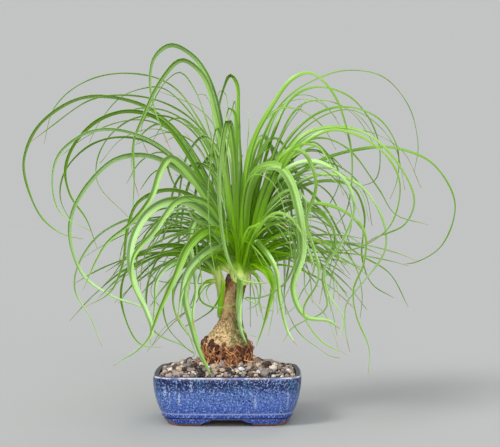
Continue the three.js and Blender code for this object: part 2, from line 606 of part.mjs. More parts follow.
function makeSideHead() {
  const rootDepth = -9;
  const parts = [makeSheath(sideSheath)];
  for (const [width, depths, face, pixels] of sideBlades) {
    parts.push(makeBlade(photoRoute(pixels, depths, rootDepth), width, face));
  }
  const draw = seededDraws(5);
  for (let i = 0; i < sideFan.count; i += 1) {
    const lean = sideFan.from + (sideFan.to - sideFan.from) * i / (sideFan.count - 1);
    const angle = THREE.MathUtils.degToRad(lean + draw(-4, 4));
    const reach = draw(...sideFan.reach);
    const droop = draw(...sideFan.droop);
    const across = Math.sin(angle);
    const up = Math.cos(angle);
    const [x, y] = sideFan.root;
    const pixels = [0, 0.35, 0.7, 1].flatMap((t) => [
      x + across * reach * t - droop * 0.5 * t * t,
      y - up * reach * t + droop * t * t,
    ]);
    const depth = draw(...sideFan.depth);
    const points = photoRoute(pixels, [depth, depth * 1.5], rootDepth);
    parts.push(makeBlade(points, draw(...sideFan.width), edgeOn));
  }
  return joinAll(parts).subtract(makeTrunkBody(fit));
}

const plantInPot = new THREE.Group();
const trunk = makeTrunk().subtract(makeSheath(mainSheath, fit));
plantInPot.add(toMesh('pot', makePot(), 0x3b4687, 0.25));
plantInPot.add(toMesh('drain_screen_left', makeScreen(-drainHole.x), 0x2f3330, 0.7));
plantInPot.add(toMesh('drain_screen_right', makeScreen(drainHole.x), 0x2f3330, 0.7));
plantInPot.add(toMesh('soil', makeSoil(), 0x8c7c6e, 0.95));
plantInPot.add(toMesh('trunk', trunk, 0x9a7854, 0.85));
plantInPot.add(toMesh('main_head', makeMainHead(), 0x6fa52c, 0.45));
plantInPot.add(toMesh('side_head', makeSideHead(), 0x86b545, 0.45));

export default plantInPot;
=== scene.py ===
import math

import bmesh
import bpy
from mathutils import Matrix, Vector, noise
from mathutils.geometry import interpolate_bezier


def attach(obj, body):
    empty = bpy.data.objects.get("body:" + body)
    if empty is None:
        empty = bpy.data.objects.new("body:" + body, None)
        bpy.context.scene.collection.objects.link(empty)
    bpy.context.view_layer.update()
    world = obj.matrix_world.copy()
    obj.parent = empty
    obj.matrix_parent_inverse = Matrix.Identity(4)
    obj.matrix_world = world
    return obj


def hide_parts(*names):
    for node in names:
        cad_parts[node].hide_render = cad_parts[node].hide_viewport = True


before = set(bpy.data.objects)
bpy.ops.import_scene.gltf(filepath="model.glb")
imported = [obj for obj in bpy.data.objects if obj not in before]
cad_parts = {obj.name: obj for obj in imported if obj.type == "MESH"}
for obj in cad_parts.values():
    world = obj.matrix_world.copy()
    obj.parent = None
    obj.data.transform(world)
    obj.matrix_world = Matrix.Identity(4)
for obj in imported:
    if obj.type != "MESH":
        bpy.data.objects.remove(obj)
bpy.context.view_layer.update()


def link(obj):
    bpy.context.scene.collection.objects.link(obj)
    return obj


def meshObject(name, bm, material=None):
    mesh = bpy.data.meshes.new(name)
    bm.to_mesh(mesh)
    bm.free()
    if material:
        mesh.materials.append(material)
    return link(bpy.data.objects.new(name, mesh))


def tint(red, green, blue):
    # sRGB bytes to a linear colour
    levels = [value / 255.0 for value in (red, green, blue)]
    return tuple(v / 12.92 if v < 0.04 else ((v + 0.055) / 1.055) ** 2.4 for v in levels) + (1.0,)


def feed(tree, node, values):
    # joins another node's output to an input, or sets the input to a plain value
    for key, value in values.items():
        if isinstance(value, bpy.types.NodeSocket):
            tree.links.new(value, node.inputs[key])
        else:
            node.inputs[key].default_value = value


def addNode(tree, kind, values=None, **settings):
    node = tree.nodes.new(kind)
    for name, value in settings.items():
        setattr(node, name, value)
    feed(tree, node, values or {})
    return node


def calc(tree, operation, a, b=0.0, clamp=False):
    return addNode(tree, "ShaderNodeMath", {0: a, 1: b}, operation=operation, use_clamp=clamp).outputs[0]


def plus(tree, a, b):
    return calc(tree, "ADD", a, b)


def less(tree, a, b):
    return calc(tree, "SUBTRACT", a, b)


def times(tree, a, b):
    return calc(tree, "MULTIPLY", a, b)


def absolute(tree, value):
    return calc(tree, "ABSOLUTE", value)


def swing(tree, value, reach):
    # a value from 0 to 1 as a shift to both sides of nothing
    return times(tree, less(tree, value, 0.5), reach)


def above(tree, value, level, steepness):
    # 0 up to a level, then steeply up to 1
    return calc(tree, "MULTIPLY", less(tree, value, level), steepness, clamp=True)


def band(tree, value, low, high, start=0.0, end=1.0):
    node = addNode(tree, "ShaderNodeMapRange", {
        "Value": value, "From Min": low, "From Max": high, "To Min": start, "To Max": end,
    }, interpolation_type="SMOOTHSTEP")
    return node.outputs[0]


def coat(tree, under, colour, mask, strength=1.0):
    # one colour over another where the mask is up
    share = mask if strength == 1.0 else times(tree, mask, strength)
    return addNode(tree, "ShaderNodeMix", {0: share, 6: under, 7: colour},
                   data_type="RGBA", blend_type="MIX").outputs[2]


def ramp(tree, value, stops, steps=False):
    node = addNode(tree, "ShaderNodeValToRGB", {"Fac": value})
    node.color_ramp.interpolation = "CONSTANT" if steps else "LINEAR"
    marks = node.color_ramp.elements
    while len(marks) < len(stops):
        marks.new(0.5)
    for mark, (place, colour) in zip(marks, stops):
        mark.position = place
        mark.color = colour
    return node.outputs[0]


def stretch(tree, vector, scale):
    return addNode(tree, "ShaderNodeMapping", {"Vector": vector, "Scale": scale}).outputs[0]


def cloud(tree, vector, scale, detail=3.0, roughness=0.55):
    return addNode(tree, "ShaderNodeTexNoise", {
        "Vector": vector, "Scale": scale, "Detail": detail, "Roughness": roughness}).outputs[0]


def readFloats(tree, *names):
    return [addNode(tree, "ShaderNodeAttribute", attribute_name=name).outputs["Fac"] for name in names]


def ownPlace(tree):
    return addNode(tree, "ShaderNodeTexCoord").outputs["Object"]


def inMillimetres(tree, place):
    return addNode(tree, "ShaderNodeVectorMath", {0: place, "Scale": 1000.0}, operation="SCALE").outputs[0]


def openMaterial(name):
    material = bpy.data.materials.new(name)
    material.use_nodes = True
    tree = material.node_tree
    shader = tree.nodes["Principled BSDF"]
    return material, tree, shader


# fine surface relief that every material shares: a normal from two sizes of noise, with its depth in metres
reliefForm = {"detail": 4.0, "roughness": 0.6, "finer": 4.3, "fineDetail": 2.0, "fineShare": 0.35,
              "depth": 0.0006}


def makeReliefGroup():
    tree = bpy.data.node_groups.new("surface_relief", "ShaderNodeTree")
    tree.interface.new_socket("Vector", in_out="INPUT", socket_type="NodeSocketVector")
    for label in ("Scale", "Strength", "Height"):
        tree.interface.new_socket(label, in_out="INPUT", socket_type="NodeSocketFloat")
    tree.interface.new_socket("Normal", in_out="OUTPUT", socket_type="NodeSocketVector")
    given = addNode(tree, "NodeGroupInput").outputs
    coarse = cloud(tree, given["Vector"], given["Scale"], reliefForm["detail"], reliefForm["roughness"])
    fineScale = times(tree, given["Scale"], reliefForm["finer"])
    fine = cloud(tree, given["Vector"], fineScale, reliefForm["fineDetail"])
    height = plus(tree, plus(tree, coarse, times(tree, fine, reliefForm["fineShare"])), given["Height"])
    bump = addNode(tree, "ShaderNodeBump", {
        "Height": height, "Strength": given["Strength"], "Distance": reliefForm["depth"]})
    addNode(tree, "NodeGroupOutput", {"Normal": bump.outputs[0]})
    return tree


reliefGroup = makeReliefGroup()


def relief(tree, vector, scale, strength, height=0.0):
    return addNode(tree, "ShaderNodeGroup", {
        "Vector": vector, "Scale": scale, "Strength": strength, "Height": height,
    }, node_tree=reliefGroup).outputs["Normal"]


def finishShader(tree, shader, look, colour, vector, height=0.0):
    feed(tree, shader, {
        "Base Color": colour, "Roughness": look["roughness"],
        "Normal": relief(tree, vector, *look["relief"], height)})


# the photograph's frame in pixels and its eye in metres; the eye is level and looks along +Y
shot = {
    "focal": 1059.0,
    "centre": (250.0, 223.5),
    "width": 500.0,
    "eye": Vector((0.0235, -1.1305, 0.208)),
    "sensor": 36.0,
}


def makeCamera():
    data = bpy.data.cameras.new("camera")
    data.sensor_width = shot["sensor"]
    data.lens = shot["focal"] * shot["sensor"] / shot["width"]
    camera = link(bpy.data.objects.new("camera", data))
    camera.location = shot["eye"]
    camera.rotation_euler = (math.radians(90.0), 0.0, 0.0)
    bpy.context.scene.camera = camera
    # the plain view, because the default one washes the greens out
    bpy.context.scene.view_settings.view_transform = "Standard"


studio = {
    "floorReach": 40.0,
    "floor": (0.4, 0.405, 0.405),
    "sky": (0.29, 0.295, 0.295),
    "lampDistance": 2.0,
    # name, where it shines from, strength, width of the source in degrees, colour
    "lamps": (
        ("key", (-0.85, -0.8, 1.0), 2.2, 20.0, (1.0, 0.99, 0.97)),
        ("top", (0.1, -0.25, 1.0), 1.05, 70.0, (0.97, 1.0, 1.0)),
        ("fill", (0.15, -1.0, 0.35), 1.75, 50.0, (0.98, 1.0, 1.0)),
        ("rim", (0.4, 0.8, 0.7), 0.6, 30.0, (1.0, 0.99, 0.95)),
    ),
}


def makeFloor():
    bm = bmesh.new()
    bmesh.ops.create_grid(bm, x_segments=1, y_segments=1, size=studio["floorReach"])
    material, tree, shader = openMaterial("floor")
    shader.inputs["Base Color"].default_value = (*studio["floor"], 1.0)
    shader.inputs["Roughness"].default_value = 1.0
    shader.inputs["Specular IOR Level"].default_value = 0.0
    meshObject("floor", bm, material)


def makeLight():
    # four soft lamps, and a sky that looks as bright as the lit floor, so that no horizon shows
    light = Vector(studio["sky"])
    for name, source, strength, width, colour in studio["lamps"]:
        towards = Vector(source).normalized()
        data = bpy.data.lights.new(name, "SUN")
        data.energy = strength
        data.angle = math.radians(width)
        data.color = colour
        lamp = link(bpy.data.objects.new(name, data))
        lamp.location = towards * studio["lampDistance"]
        lamp.rotation_euler = towards.to_track_quat("Z", "Y").to_euler()
        light += Vector(colour) * (strength * towards.z / math.pi)
    world = bpy.data.worlds.new("studio")
    world.use_nodes = True
    tree = world.node_tree
    sky = tree.nodes["Background"]
    sky.inputs["Color"].default_value = (*studio["sky"], 1.0)
    litFloor = [a * b for a, b in zip(light, studio["floor"])]
    seen = addNode(tree, "ShaderNodeBackground", {"Color": (*litFloor, 1.0)})
    inView = addNode(tree, "ShaderNodeLightPath").outputs["Is Camera Ray"]
    mixed = addNode(tree, "ShaderNodeMixShader", {0: inView, 1: sky.outputs[0], 2: seen.outputs[0]})
    tree.links.new(mixed.outputs[0], tree.nodes["World Output"].inputs["Surface"])
    bpy.context.scene.world = world


makeCamera()
makeFloor()
makeLight()
print("camera and studio")


# where each piece's draws start
seeds = {"main": 7, "inner": 3, "back": 11, "side": 9, "sideFan": 5, "gravel": 7, "trunk": 23}


def seededDraws(name):
    # the same draws on every run, by a common rule for random numbers of 32 bits
    state = seeds[name]

    def draw(low, high):
        nonlocal state
        state = (state * 1664525 + 1013904223) % 2 ** 32
        return low + (high - low) * state / 2 ** 32

    return draw


def shareOf(value, low, high):
    # 0 at low, 1 at high, even between them
    return max(0.0, min((value - low) / (high - low), 1.0))


def profileAt(profile, z):
    # the values of a profile at a height, from its rows of a height and its values
    for (z0, *low), (z1, *high) in zip(profile, profile[1:]):
        if z <= z1:
            t = max(z - z0, 0.0) / (z1 - z0)
            return [a + (b - a) * t for a, b in zip(low, high)]
    return profile[-1][1:]


def anglesRound(count):
    return [math.tau * s / count for s in range(count)]


# lengths in metres too small to matter: a span to divide by, a gap to divide by, points to join
tiny = {"span": 1e-4, "gap": 1e-9, "weld": 1e-7}


def curveThrough(points, perSpan=14):
    # (place, share) along a centripetal curve through the points; the share is even from point to point
    padded = [points[0] * 2 - points[1], *points, points[-1] * 2 - points[-2]]
    spans = len(points) - 1
    samples = []
    for i in range(spans):
        a, b, c, d = padded[i:i + 4]
        before, here, after = [max((q - p).length ** 0.5, tiny["span"]) for p, q in ((a, b), (b, c), (c, d))]
        leave = ((b - a) / before - (c - a) / (before + here) + (c - b) / here) * here
        arrive = ((c - b) / here - (d - b) / (here + after) + (d - c) / after) * here
        run = interpolate_bezier(b, b + leave / 3, c - arrive / 3, c, perSpan + 1)
        samples.extend((place, (i + k / perSpan) / spans) for k, place in enumerate(run[:-1]))
    samples.append((points[-1].copy(), 1.0))
    return samples


def runLength(samples):
    return sum((samples[i + 1][0] - samples[i][0]).length for i in range(len(samples) - 1))


def evenStations(samples, steps):
    total = runLength(samples)
    stations = [samples[0]]
    passed = 0.0
    i = 0
    for k in range(1, steps):
        goal = total * k / steps
        gap = (samples[i + 1][0] - samples[i][0]).length
        while passed + gap < goal and i + 2 < len(samples):
            passed += gap
            i += 1
            gap = (samples[i + 1][0] - samples[i][0]).length
        t = (goal - passed) / max(gap, tiny["gap"])
        (here, share), (after, shareAfter) = samples[i:i + 2]
        stations.append((here.lerp(after, t), share + (shareAfter - share) * t))
    stations.append(samples[-1])
    return stations


def tangentAt(stations, k):
    before, after = stations[max(k - 1, 0)][0], stations[min(k + 1, len(stations) - 1)][0]
    return (after - before).normalized()


def layGrid(bm, across, along):
    # a sheet of vertices with their column and row, to be laid where they belong
    made = bmesh.ops.create_grid(bm, x_segments=across, y_segments=along, size=1.0)["verts"]
    return [(vert, round((vert.co.x + 1) / 2 * across), round((vert.co.y + 1) / 2 * along)) for vert in made]


def layRings(bm, rings, marks=()):
    # a skin over rings of equal count, closed round, with each layer's value by place, row and column
    around = len(rings[0])
    laid = layGrid(bm, around, len(rings) - 1)
    for vert, column, row in laid:
        vert.co = rings[row][column % around]
        for layer, value in marks:
            vert[layer] = value(vert.co, row, column % around)
    bmesh.ops.remove_doubles(bm, verts=[vert for vert, column, row in laid], dist=tiny["weld"])


def closeEnds(rings):
    # one point repeated, in the middle of the ring beside it, closes each end
    around = len(rings[0])
    first, last = [[sum(ring, Vector()) / around] * around for ring in (rings[0], rings[-1])]
    return [first, *rings, last]


def tubeRings(points, radiusAt, sides, steps):
    # round sections along a curve, with one point repeated at each end
    stations = evenStations(curveThrough(points), steps)
    rings = [[stations[0][0]] * sides]
    side = Vector((0.3, 0.2, 1.0))
    for k, (place, share) in enumerate(stations):
        tangent = tangentAt(stations, k)
        side = (side - tangent * side.dot(tangent)).normalized()
        other = tangent.cross(side)
        radius = radiusAt(share)
        rings.append([place + (side * math.cos(turn) + other * math.sin(turn)) * radius
                      for turn in anglesRound(sides)])
    rings.append([stations[-1][0]] * sides)
    return rings


def finishPiece(name, bm, material, node=None, sharpAngle=40.0):
    bmesh.ops.recalc_face_normals(bm, faces=bm.faces)
    piece = meshObject(name, bm, material)
    mesh = piece.data
    for face in mesh.polygons:
        face.use_smooth = sharpAngle > 0.0
    if sharpAngle > 0.0:
        mesh.set_sharp_from_angle(angle=math.radians(sharpAngle))
    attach(piece, "root")
    if node:
        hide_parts(node)
    mesh.calc_loop_triangles()
    print(name, len(mesh.loop_triangles), "triangles")


# turn of a blade's face in degrees at its root, middle and tip
edgeOn = (45, 20, 25)
slanted = (60, 32, 35)
broad = (80, 75, 55)

# main head: width in mm, depths in mm at middle and tip, face, and the route in pixels of the photograph
mainRoutes = (
    (7, (85, 140), slanted, (240, 272, 226, 225, 207, 178, 184, 140, 150, 109, 112, 97, 78, 99, 40, 124, 24,
        158, 27, 186, 42, 218, 62, 234, 83, 239)),
    (5, (55, 90), edgeOn, (238, 270, 228, 215, 208, 138, 172, 106, 128, 95, 90, 100, 53, 125, 29, 143)),
    (5, (80, 130), edgeOn, (241, 268, 233, 215, 222, 172, 198, 118, 170, 84, 127, 73, 84, 82, 54, 108, 44,
        144)),
    (9, (-10, -20), slanted, (238, 272, 231, 215, 217, 105, 206, 74, 192, 55, 171, 45, 155, 56, 150, 76,
        153, 104, 172, 154)),
    (8, (-20, -50), slanted, (240, 275, 225, 170, 215, 110, 202, 74, 182, 60, 161, 80, 143, 117, 134, 140,
        134, 175, 133, 210)),
    (3, (5, -10), edgeOn, (240, 276, 228, 215, 212, 140, 195, 90, 180, 72, 165, 82, 148, 112, 133, 142, 132,
        171, 139, 197)),
    (7, (-10, -20), slanted, (238, 276, 222, 225, 190, 158, 160, 120, 128, 111, 97, 121, 75, 143, 65, 170,
        70, 195, 86, 219, 97, 248)),
    (4, (35, 55), edgeOn, (239, 272, 226, 220, 200, 140, 170, 117, 135, 118, 111, 134, 97, 160, 98, 184,
        128, 217)),
    (6, (-45, -60), slanted, (238, 280, 217, 205, 188, 171, 155, 143, 119, 130, 86, 133, 59, 154, 52, 180,
        60, 212, 92, 232)),
    (5, (75, 125), slanted, (240, 268, 231, 215, 202, 138, 172, 113, 142, 108, 112, 115)),
    (8, (-35, -70), slanted, (237, 280, 211, 204, 183, 173, 150, 156, 116, 159, 90, 182, 73, 210, 70, 240,
        84, 276, 112, 296, 144, 308, 158, 319)),
    (6, (25, 35), edgeOn, (237, 278, 213, 208, 184, 170, 148, 142, 117, 137, 87, 147, 65, 171, 60, 198, 72,
        224)),
    (3.5, (100, 144), edgeOn, (241, 270, 218, 165, 192, 115, 165, 89, 150, 87, 121, 97, 100, 121, 89, 143)),
    (3.5, (60, 100), edgeOn, (239, 274, 210, 182, 176, 135, 145, 120, 112, 124, 84, 138, 62, 155)),
    (5, (60, 95), slanted, (237, 276, 205, 180, 172, 130, 158, 124, 144, 132, 136, 144)),
    (2, (40, 60), edgeOn, (240, 276, 218, 200, 190, 150, 160, 120, 146, 117, 141, 135, 148, 154)),
    (8, (70, 140), slanted, (242, 272, 241, 200, 238, 120, 237, 84, 230, 75, 223, 90, 218, 115, 218, 155)),
    (3, (30, 60), edgeOn, (240, 272, 237, 200, 236, 120, 235, 101, 229, 119)),
    (3, (60, 90), edgeOn, (240, 274, 225, 180, 214, 125, 211, 105, 204, 94, 197, 95)),
    (3, (90, 140), edgeOn, (240, 274, 228, 190, 215, 127, 198, 108, 178, 98, 158, 91)),
    (8, (-62, -80), slanted, (238, 270, 236, 200, 233, 150, 228, 120, 221, 155, 219, 190, 222, 230, 229,
        262, 240, 279, 255, 283, 268, 283)),
    (9, (-75, -100), broad, (236, 268, 222, 232, 192, 204, 170, 201, 150, 211, 134, 236, 130, 260, 135, 285,
        148, 315, 152, 332, 140, 348, 113, 366)),
    (9, (-45, -80), broad, (238, 280, 228, 240, 200, 188, 180, 164, 170, 158, 161, 170, 151, 198, 130, 224,
        105, 245, 83, 290)),
    (9, (-62, -80), broad, (236, 262, 228, 247, 217, 246, 200, 256, 186, 274, 181, 296, 178, 318)),
    (9, (-48, -50), broad, (238, 266, 230, 252, 219, 249, 203, 257, 189, 274, 185, 296, 191, 322, 199, 350,
        208, 369)),
    (7, (-30, -60), broad, (236, 270, 222, 240, 206, 222, 195, 221, 190, 240, 193, 262, 196, 290, 193, 312,
        194, 330)),
    (10, (-92, -112), broad, (238, 262, 226, 236, 208, 230, 190, 245, 176, 275, 160, 310, 148, 339)),
    (5, (0, -20), slanted, (236, 275, 222, 248, 187, 229, 150, 220, 130, 219, 99, 235, 78, 265, 75, 290, 92,
        321, 102, 347)),
    (7, (-50, -85), slanted, (236, 270, 220, 232, 192, 196, 165, 190, 138, 202, 127, 230, 122, 266, 110,
        292, 85, 307)),
    (7, (-60, -110), broad, (237, 268, 212, 208, 196, 199, 178, 201, 154, 232, 134, 256, 132, 280, 144,
        308)),
    (6, (30, 50), slanted, (238, 276, 213, 206, 184, 168, 168, 161, 172, 180, 194, 214)),
    (5, (-60, -85), slanted, (237, 272, 222, 245, 205, 226, 193, 218, 187, 209, 178, 208, 164, 221)),
    (5, (-55, -80), slanted, (236, 266, 218, 240, 196, 240, 180, 262, 173, 290, 175, 312, 187, 331, 197,
        357)),
    (4, (35, 60), edgeOn, (236, 268, 226, 244, 213, 246, 202, 268, 188, 309, 172, 324, 147, 351)),
    (4, (45, 20), edgeOn, (236, 270, 200, 232, 172, 240, 152, 270, 146, 300, 150, 325, 160, 336, 181, 345,
        195, 355, 190, 358)),
    (2.5, (60, 85), edgeOn, (236, 270, 214, 236, 186, 236, 164, 262, 152, 284, 151, 294, 160, 307)),
    (3, (20, 30), edgeOn, (238, 280, 222, 246, 192, 226, 160, 222, 130, 232, 105, 244, 84, 257)),
    (7, (-33, -38), broad, (239, 268, 240, 285, 239, 312, 241, 330, 247, 344)),
    (2.5, (-40, -52), edgeOn, (240, 270, 241, 295, 239, 320, 246, 333, 256, 337)),
    (8, (-25, -45), slanted, (243, 272, 245, 180, 255, 137, 272, 106, 292, 79, 310, 73, 331, 90, 346, 126,
        352, 165, 346, 211, 330, 231)),
    (5, (45, 90), edgeOn, (242, 268, 256, 165, 267, 128, 283, 102, 312, 81, 350, 70, 385, 78, 409, 107, 418,
        145, 414, 172)),
    (5, (30, 55), slanted, (244, 270, 252, 218, 274, 132, 294, 96, 318, 87, 347, 95, 370, 120, 380, 154,
        375, 180, 355, 187)),
    (3, (105, 146), edgeOn, (243, 268, 260, 165, 280, 109, 300, 95, 321, 101, 346, 135)),
    (3, (80, 140), edgeOn, (243, 270, 258, 170, 280, 107, 304, 99, 322, 104, 337, 119)),
    (5, (5, 5), slanted, (244, 275, 266, 185, 290, 137, 320, 112, 348, 107, 378, 118, 397, 147, 397, 180,
        390, 199)),
    (4, (65, 100), edgeOn, (244, 272, 268, 182, 295, 138, 325, 115, 352, 110, 378, 125, 396, 150, 405,
        190)),
    (7, (-20, -50), slanted, (244, 275, 270, 190, 300, 138, 330, 127, 365, 133, 393, 157, 414, 198, 405,
        224, 374, 238, 359, 248)),
    (6, (-45, -90), slanted, (243, 278, 268, 200, 298, 148, 332, 130, 365, 139, 392, 163, 400, 190, 388,
        228, 349, 250, 316, 241)),
    (6, (0, 0), slanted, (244, 280, 272, 205, 309, 167, 350, 151, 395, 148, 434, 165, 455, 205, 441, 246,
        416, 262, 402, 264)),
    (5, (50, 85), slanted, (243, 274, 266, 190, 300, 144, 322, 138, 348, 149, 378, 188, 395, 214, 428,
        225)),
    (3, (90, 130), edgeOn, (243, 272, 269, 186, 305, 139, 345, 129, 378, 135, 404, 153, 421, 188)),
    (6, (-30, -70), slanted, (243, 278, 272, 212, 300, 182, 328, 174, 358, 184, 381, 215, 385, 250, 364,
        281, 346, 305, 346, 335, 350, 352)),
    (6, (-60, -100), slanted, (242, 278, 268, 225, 300, 205, 335, 207, 363, 229, 364, 262, 353, 290, 356,
        315, 369, 350, 368, 374)),
    (6, (70, 110), slanted, (241, 278, 280, 200, 322, 181, 352, 187, 364, 212, 362, 258, 372, 284, 394,
        298)),
    (8, (-55, -110), slanted, (244, 276, 264, 198, 290, 167, 318, 162, 346, 182, 354, 208, 342, 242, 325,
        268, 328, 293, 344, 320, 338, 340)),
    (7, (-80, -146), slanted, (243, 274, 266, 185, 286, 152, 302, 151, 316, 184, 306, 222, 314, 249, 318,
        280, 303, 311, 320, 340, 347, 355)),
    (6, (-50, -100), slanted, (242, 278, 266, 210, 290, 190, 304, 197, 306, 226, 316, 254, 322, 278)),
    (6, (-70, -120), slanted, (241, 280, 256, 233, 276, 213, 293, 220, 309, 250, 314, 266)),
    (6, (-35, -60), slanted, (241, 278, 258, 237, 280, 221, 297, 227, 308, 250, 313, 272)),
    (6, (45, 70), slanted, (241, 278, 256, 241, 272, 228, 287, 239, 289, 262, 284, 292, 286, 315)),
    (2.5, (60, 100), edgeOn, (242, 278, 250, 256, 262, 244, 282, 238, 296, 240)),
    (7, (-50, -95), broad, (240, 275, 243, 250, 249, 238, 262, 247, 276, 270, 280, 300, 288, 332, 297,
        346)),
    (9, (-38, -62), broad, (243, 272, 251, 261, 264, 265, 273, 282, 268, 310, 256, 347)),
    (7, (-20, -35), broad, (243, 275, 252, 266, 264, 272, 272, 288)),
    (4, (-15, -30), slanted, (244, 278, 252, 273, 260, 285, 257, 304, 247, 309)),
    (5, (-50, -62), slanted, (242, 276, 252, 240, 275, 218, 294, 227, 297, 255, 283, 285, 258, 298, 243,
        297, 256, 304, 274, 312)),
    (10, (-72, -100), broad, (242, 272, 249, 188, 260, 169, 276, 166, 290, 180, 303, 250, 293, 288, 305,
        316, 330, 321, 340, 329)),
    (6, (55, 95), slanted, (243, 276, 270, 208, 298, 186, 325, 208, 348, 246, 390, 274, 408, 307)),
    (2, (95, 140), edgeOn, (243, 276, 275, 222, 309, 220, 343, 233, 361, 244)),
    (7, (-50, -110), slanted, (243, 276, 272, 185, 295, 147, 316, 146, 338, 176)),
)

# thinner leaves of the main head that run between the others, in the same form
fineRoutes = (
    (6, (-40, -80), slanted, (241, 277, 262, 224, 290, 203, 312, 208, 326, 218, 334, 232, 335, 246, 327,
        262, 322, 278, 325, 292, 327, 305, 320, 314, 306, 320, 290, 330, 283, 342)),
    (4, (-30, -60), slanted, (241, 277, 256, 236, 276, 218, 294, 226, 304, 240, 311, 254, 314, 268, 309,
        281, 301, 293, 295, 306, 286, 314)),
    (2.5, (-45, -70), edgeOn, (241, 277, 262, 232, 284, 222, 299, 240, 304, 270, 305, 290, 314, 302, 326,
        316, 333, 332, 338, 348)),
    (2.5, (-35, -55), edgeOn, (242, 277, 258, 245, 274, 250, 279, 280, 286, 308, 300, 334, 318, 348, 330,
        356, 340, 358)),
    (4, (30, 50), slanted, (243, 276, 266, 196, 290, 155, 313, 142, 330, 157, 338, 170, 339, 182, 336, 192,
        330, 203, 327, 208)),
    (4, (-20, -45), slanted, (238, 276, 212, 236, 186, 214, 162, 218, 146, 234, 138, 252, 136, 270, 139,
        288)),
    (5, (10, 30), slanted, (241, 274, 240, 230, 243, 190, 248, 155, 255, 135, 268, 117, 283, 108, 304, 112,
        322, 126, 336, 150)),
    (6, (-15, -10), broad, (239, 272, 238, 235, 236, 200, 236, 165, 236, 130, 234, 112, 229, 108, 226,
        118)),
    (6, (20, 50), broad, (242, 272, 248, 232, 258, 200, 272, 175, 290, 158, 310, 150, 330, 156, 346, 172)),
    (5, (-10, -20), slanted, (243, 272, 254, 238, 268, 217, 286, 206, 306, 204, 328, 206, 350, 216, 366,
        236)),
    (5, (35, 70), slanted, (243, 272, 256, 226, 274, 190, 296, 170, 322, 162, 348, 172, 366, 196, 372,
        226)),
    (5, (25, 60), slanted, (237, 272, 228, 232, 214, 200, 196, 174, 176, 158, 158, 152, 140, 162, 126,
        184)),
    (6, (-10, 10), slanted, (238, 272, 231, 240, 220, 212, 206, 190, 190, 174, 172, 166, 154, 172, 140,
        190)),
    (5, (45, 90), slanted, (239, 272, 232, 225, 222, 184, 210, 150, 196, 128, 180, 118, 164, 124, 152,
        142)),
    (4, (-25, -40), slanted, (237, 274, 224, 246, 206, 228, 186, 222, 166, 228, 150, 244, 142, 266, 140,
        292)),
    (4, (15, 35), slanted, (237, 273, 222, 240, 202, 218, 180, 208, 158, 210, 138, 222, 124, 242, 118,
        266)),
    (4, (-30, -65), slanted, (243, 275, 258, 246, 276, 232, 296, 232, 314, 244, 328, 264, 334, 288, 330,
        312)),
    (3.5, (20, 55), slanted, (243, 275, 262, 240, 284, 226, 310, 226, 336, 240, 354, 264, 362, 292, 360,
        318)),
    (9.5, (-49, -51), broad, (238, 266, 230, 252, 219, 249, 203, 257, 189, 274, 185, 296, 191, 322, 199,
        350, 207, 367, 211, 375)),
)

sideRoutes = (
    (5, (-40, -72), slanted, (219, 277, 210, 258, 190, 247, 160, 245, 131, 262, 121, 290, 125, 318, 140,
        344, 162, 348)),
    (4, (-34, -50), slanted, (219, 277, 212, 258, 198, 251, 172, 259, 149, 279, 144, 303)),
    (6, (-48, -75), broad, (219, 277, 207, 261, 192, 257, 170, 265, 157, 280, 155, 305, 150, 345)),
    (4.6, (-24, -40), slanted, (220, 274, 224, 283, 214, 307, 202, 317, 184, 327)),
    (4, (-26, -31), slanted, (219, 280, 207, 281, 199, 290, 201, 301, 212, 307, 229, 307, 235, 304)),
    (2.5, (-16, -20), edgeOn, (218, 282, 211, 284, 206, 292, 210, 304)),
    (2.5, (-20, -30), edgeOn, (219, 279, 205, 283, 190, 283, 175, 282, 160, 281, 143, 268)),
    (4, (-30, -45), slanted, (219, 279, 205, 268, 188, 270, 176, 286, 173, 302, 178, 320, 188, 335, 200,
        350)),
    (2.5, (-28, -38), edgeOn, (219, 282, 209, 284, 201, 292, 197, 301, 188, 310, 176, 318, 162, 330, 152,
        345)),
    (3, (-34, -50), slanted, (219, 279, 204, 266, 186, 266, 170, 282, 163, 305, 168, 328, 180, 342, 192,
        353)),
    (4, (-16, -26), slanted, (219, 276, 213, 262, 204, 252, 192, 250, 182, 258, 176, 272, 174, 290)),
    (3, (-14, -20), slanted, (220, 276, 216, 258, 210, 246, 202, 240, 192, 242, 186, 254)),
)


# the form of a blade: lengths in metres unless a note says mm, the rest in shares of them
leafForm = {
    "stepLength": 0.0055,
    "steps": (16, 90),
    "thickness": 0.00042,
    # a blade wider than this in mm is laid in four columns, a narrower one in two
    "narrow": 3.2,
    "channel": 0.34,
    "channelCurve": 1.5,
    "ripple": 0.00022,
    # radians of ripple in a metre, and how far a leaf's tone shifts it
    "rippleRate": 120.0,
    "rippleShift": 40.0,
    # how much narrower the blade is at its tip, how late that comes, and its least width in mm
    "taper": 0.9,
    "taperCurve": 2.4,
    "leastWidth": 0.8,
    "tip": 0.00035,
    "tipShare": 0.05,
    "tipCurve": 0.7,
}
# how pale a traced leaf looks, and the leaves of each shade by their place in the lists; the rest are fresh.
# These shades are partly each leaf's own tone and partly painted light: mint stands for a painted sheen of
# sky reflection, deep for painted shade
sheenAndShadeTones = {"mint": 1.0, "pale": 0.78, "fresh": 0.5, "deep": 0.1}
sheenAndShadeLeaves = {
    "mint": (8, 10, 21, 23, 25, 27, 31, 33, 37, 38, 51, 54, 64, 72),
    "pale": (2, 3, 4, 5, 14, 18, 19, 20, 22, 24, 29, 32, 35, 56, 58, 61, 65, 66, 70, 71, 81, 83, 88),
    "deep": (6, 11, 16, 17, 40, 41, 42, 44, 45, 48, 49, 50, 53, 60, 67, 69, 74, 77, 78, 80),
}
shadeSpread = 0.07
rootDepths = {"main": 0, "side": -9}

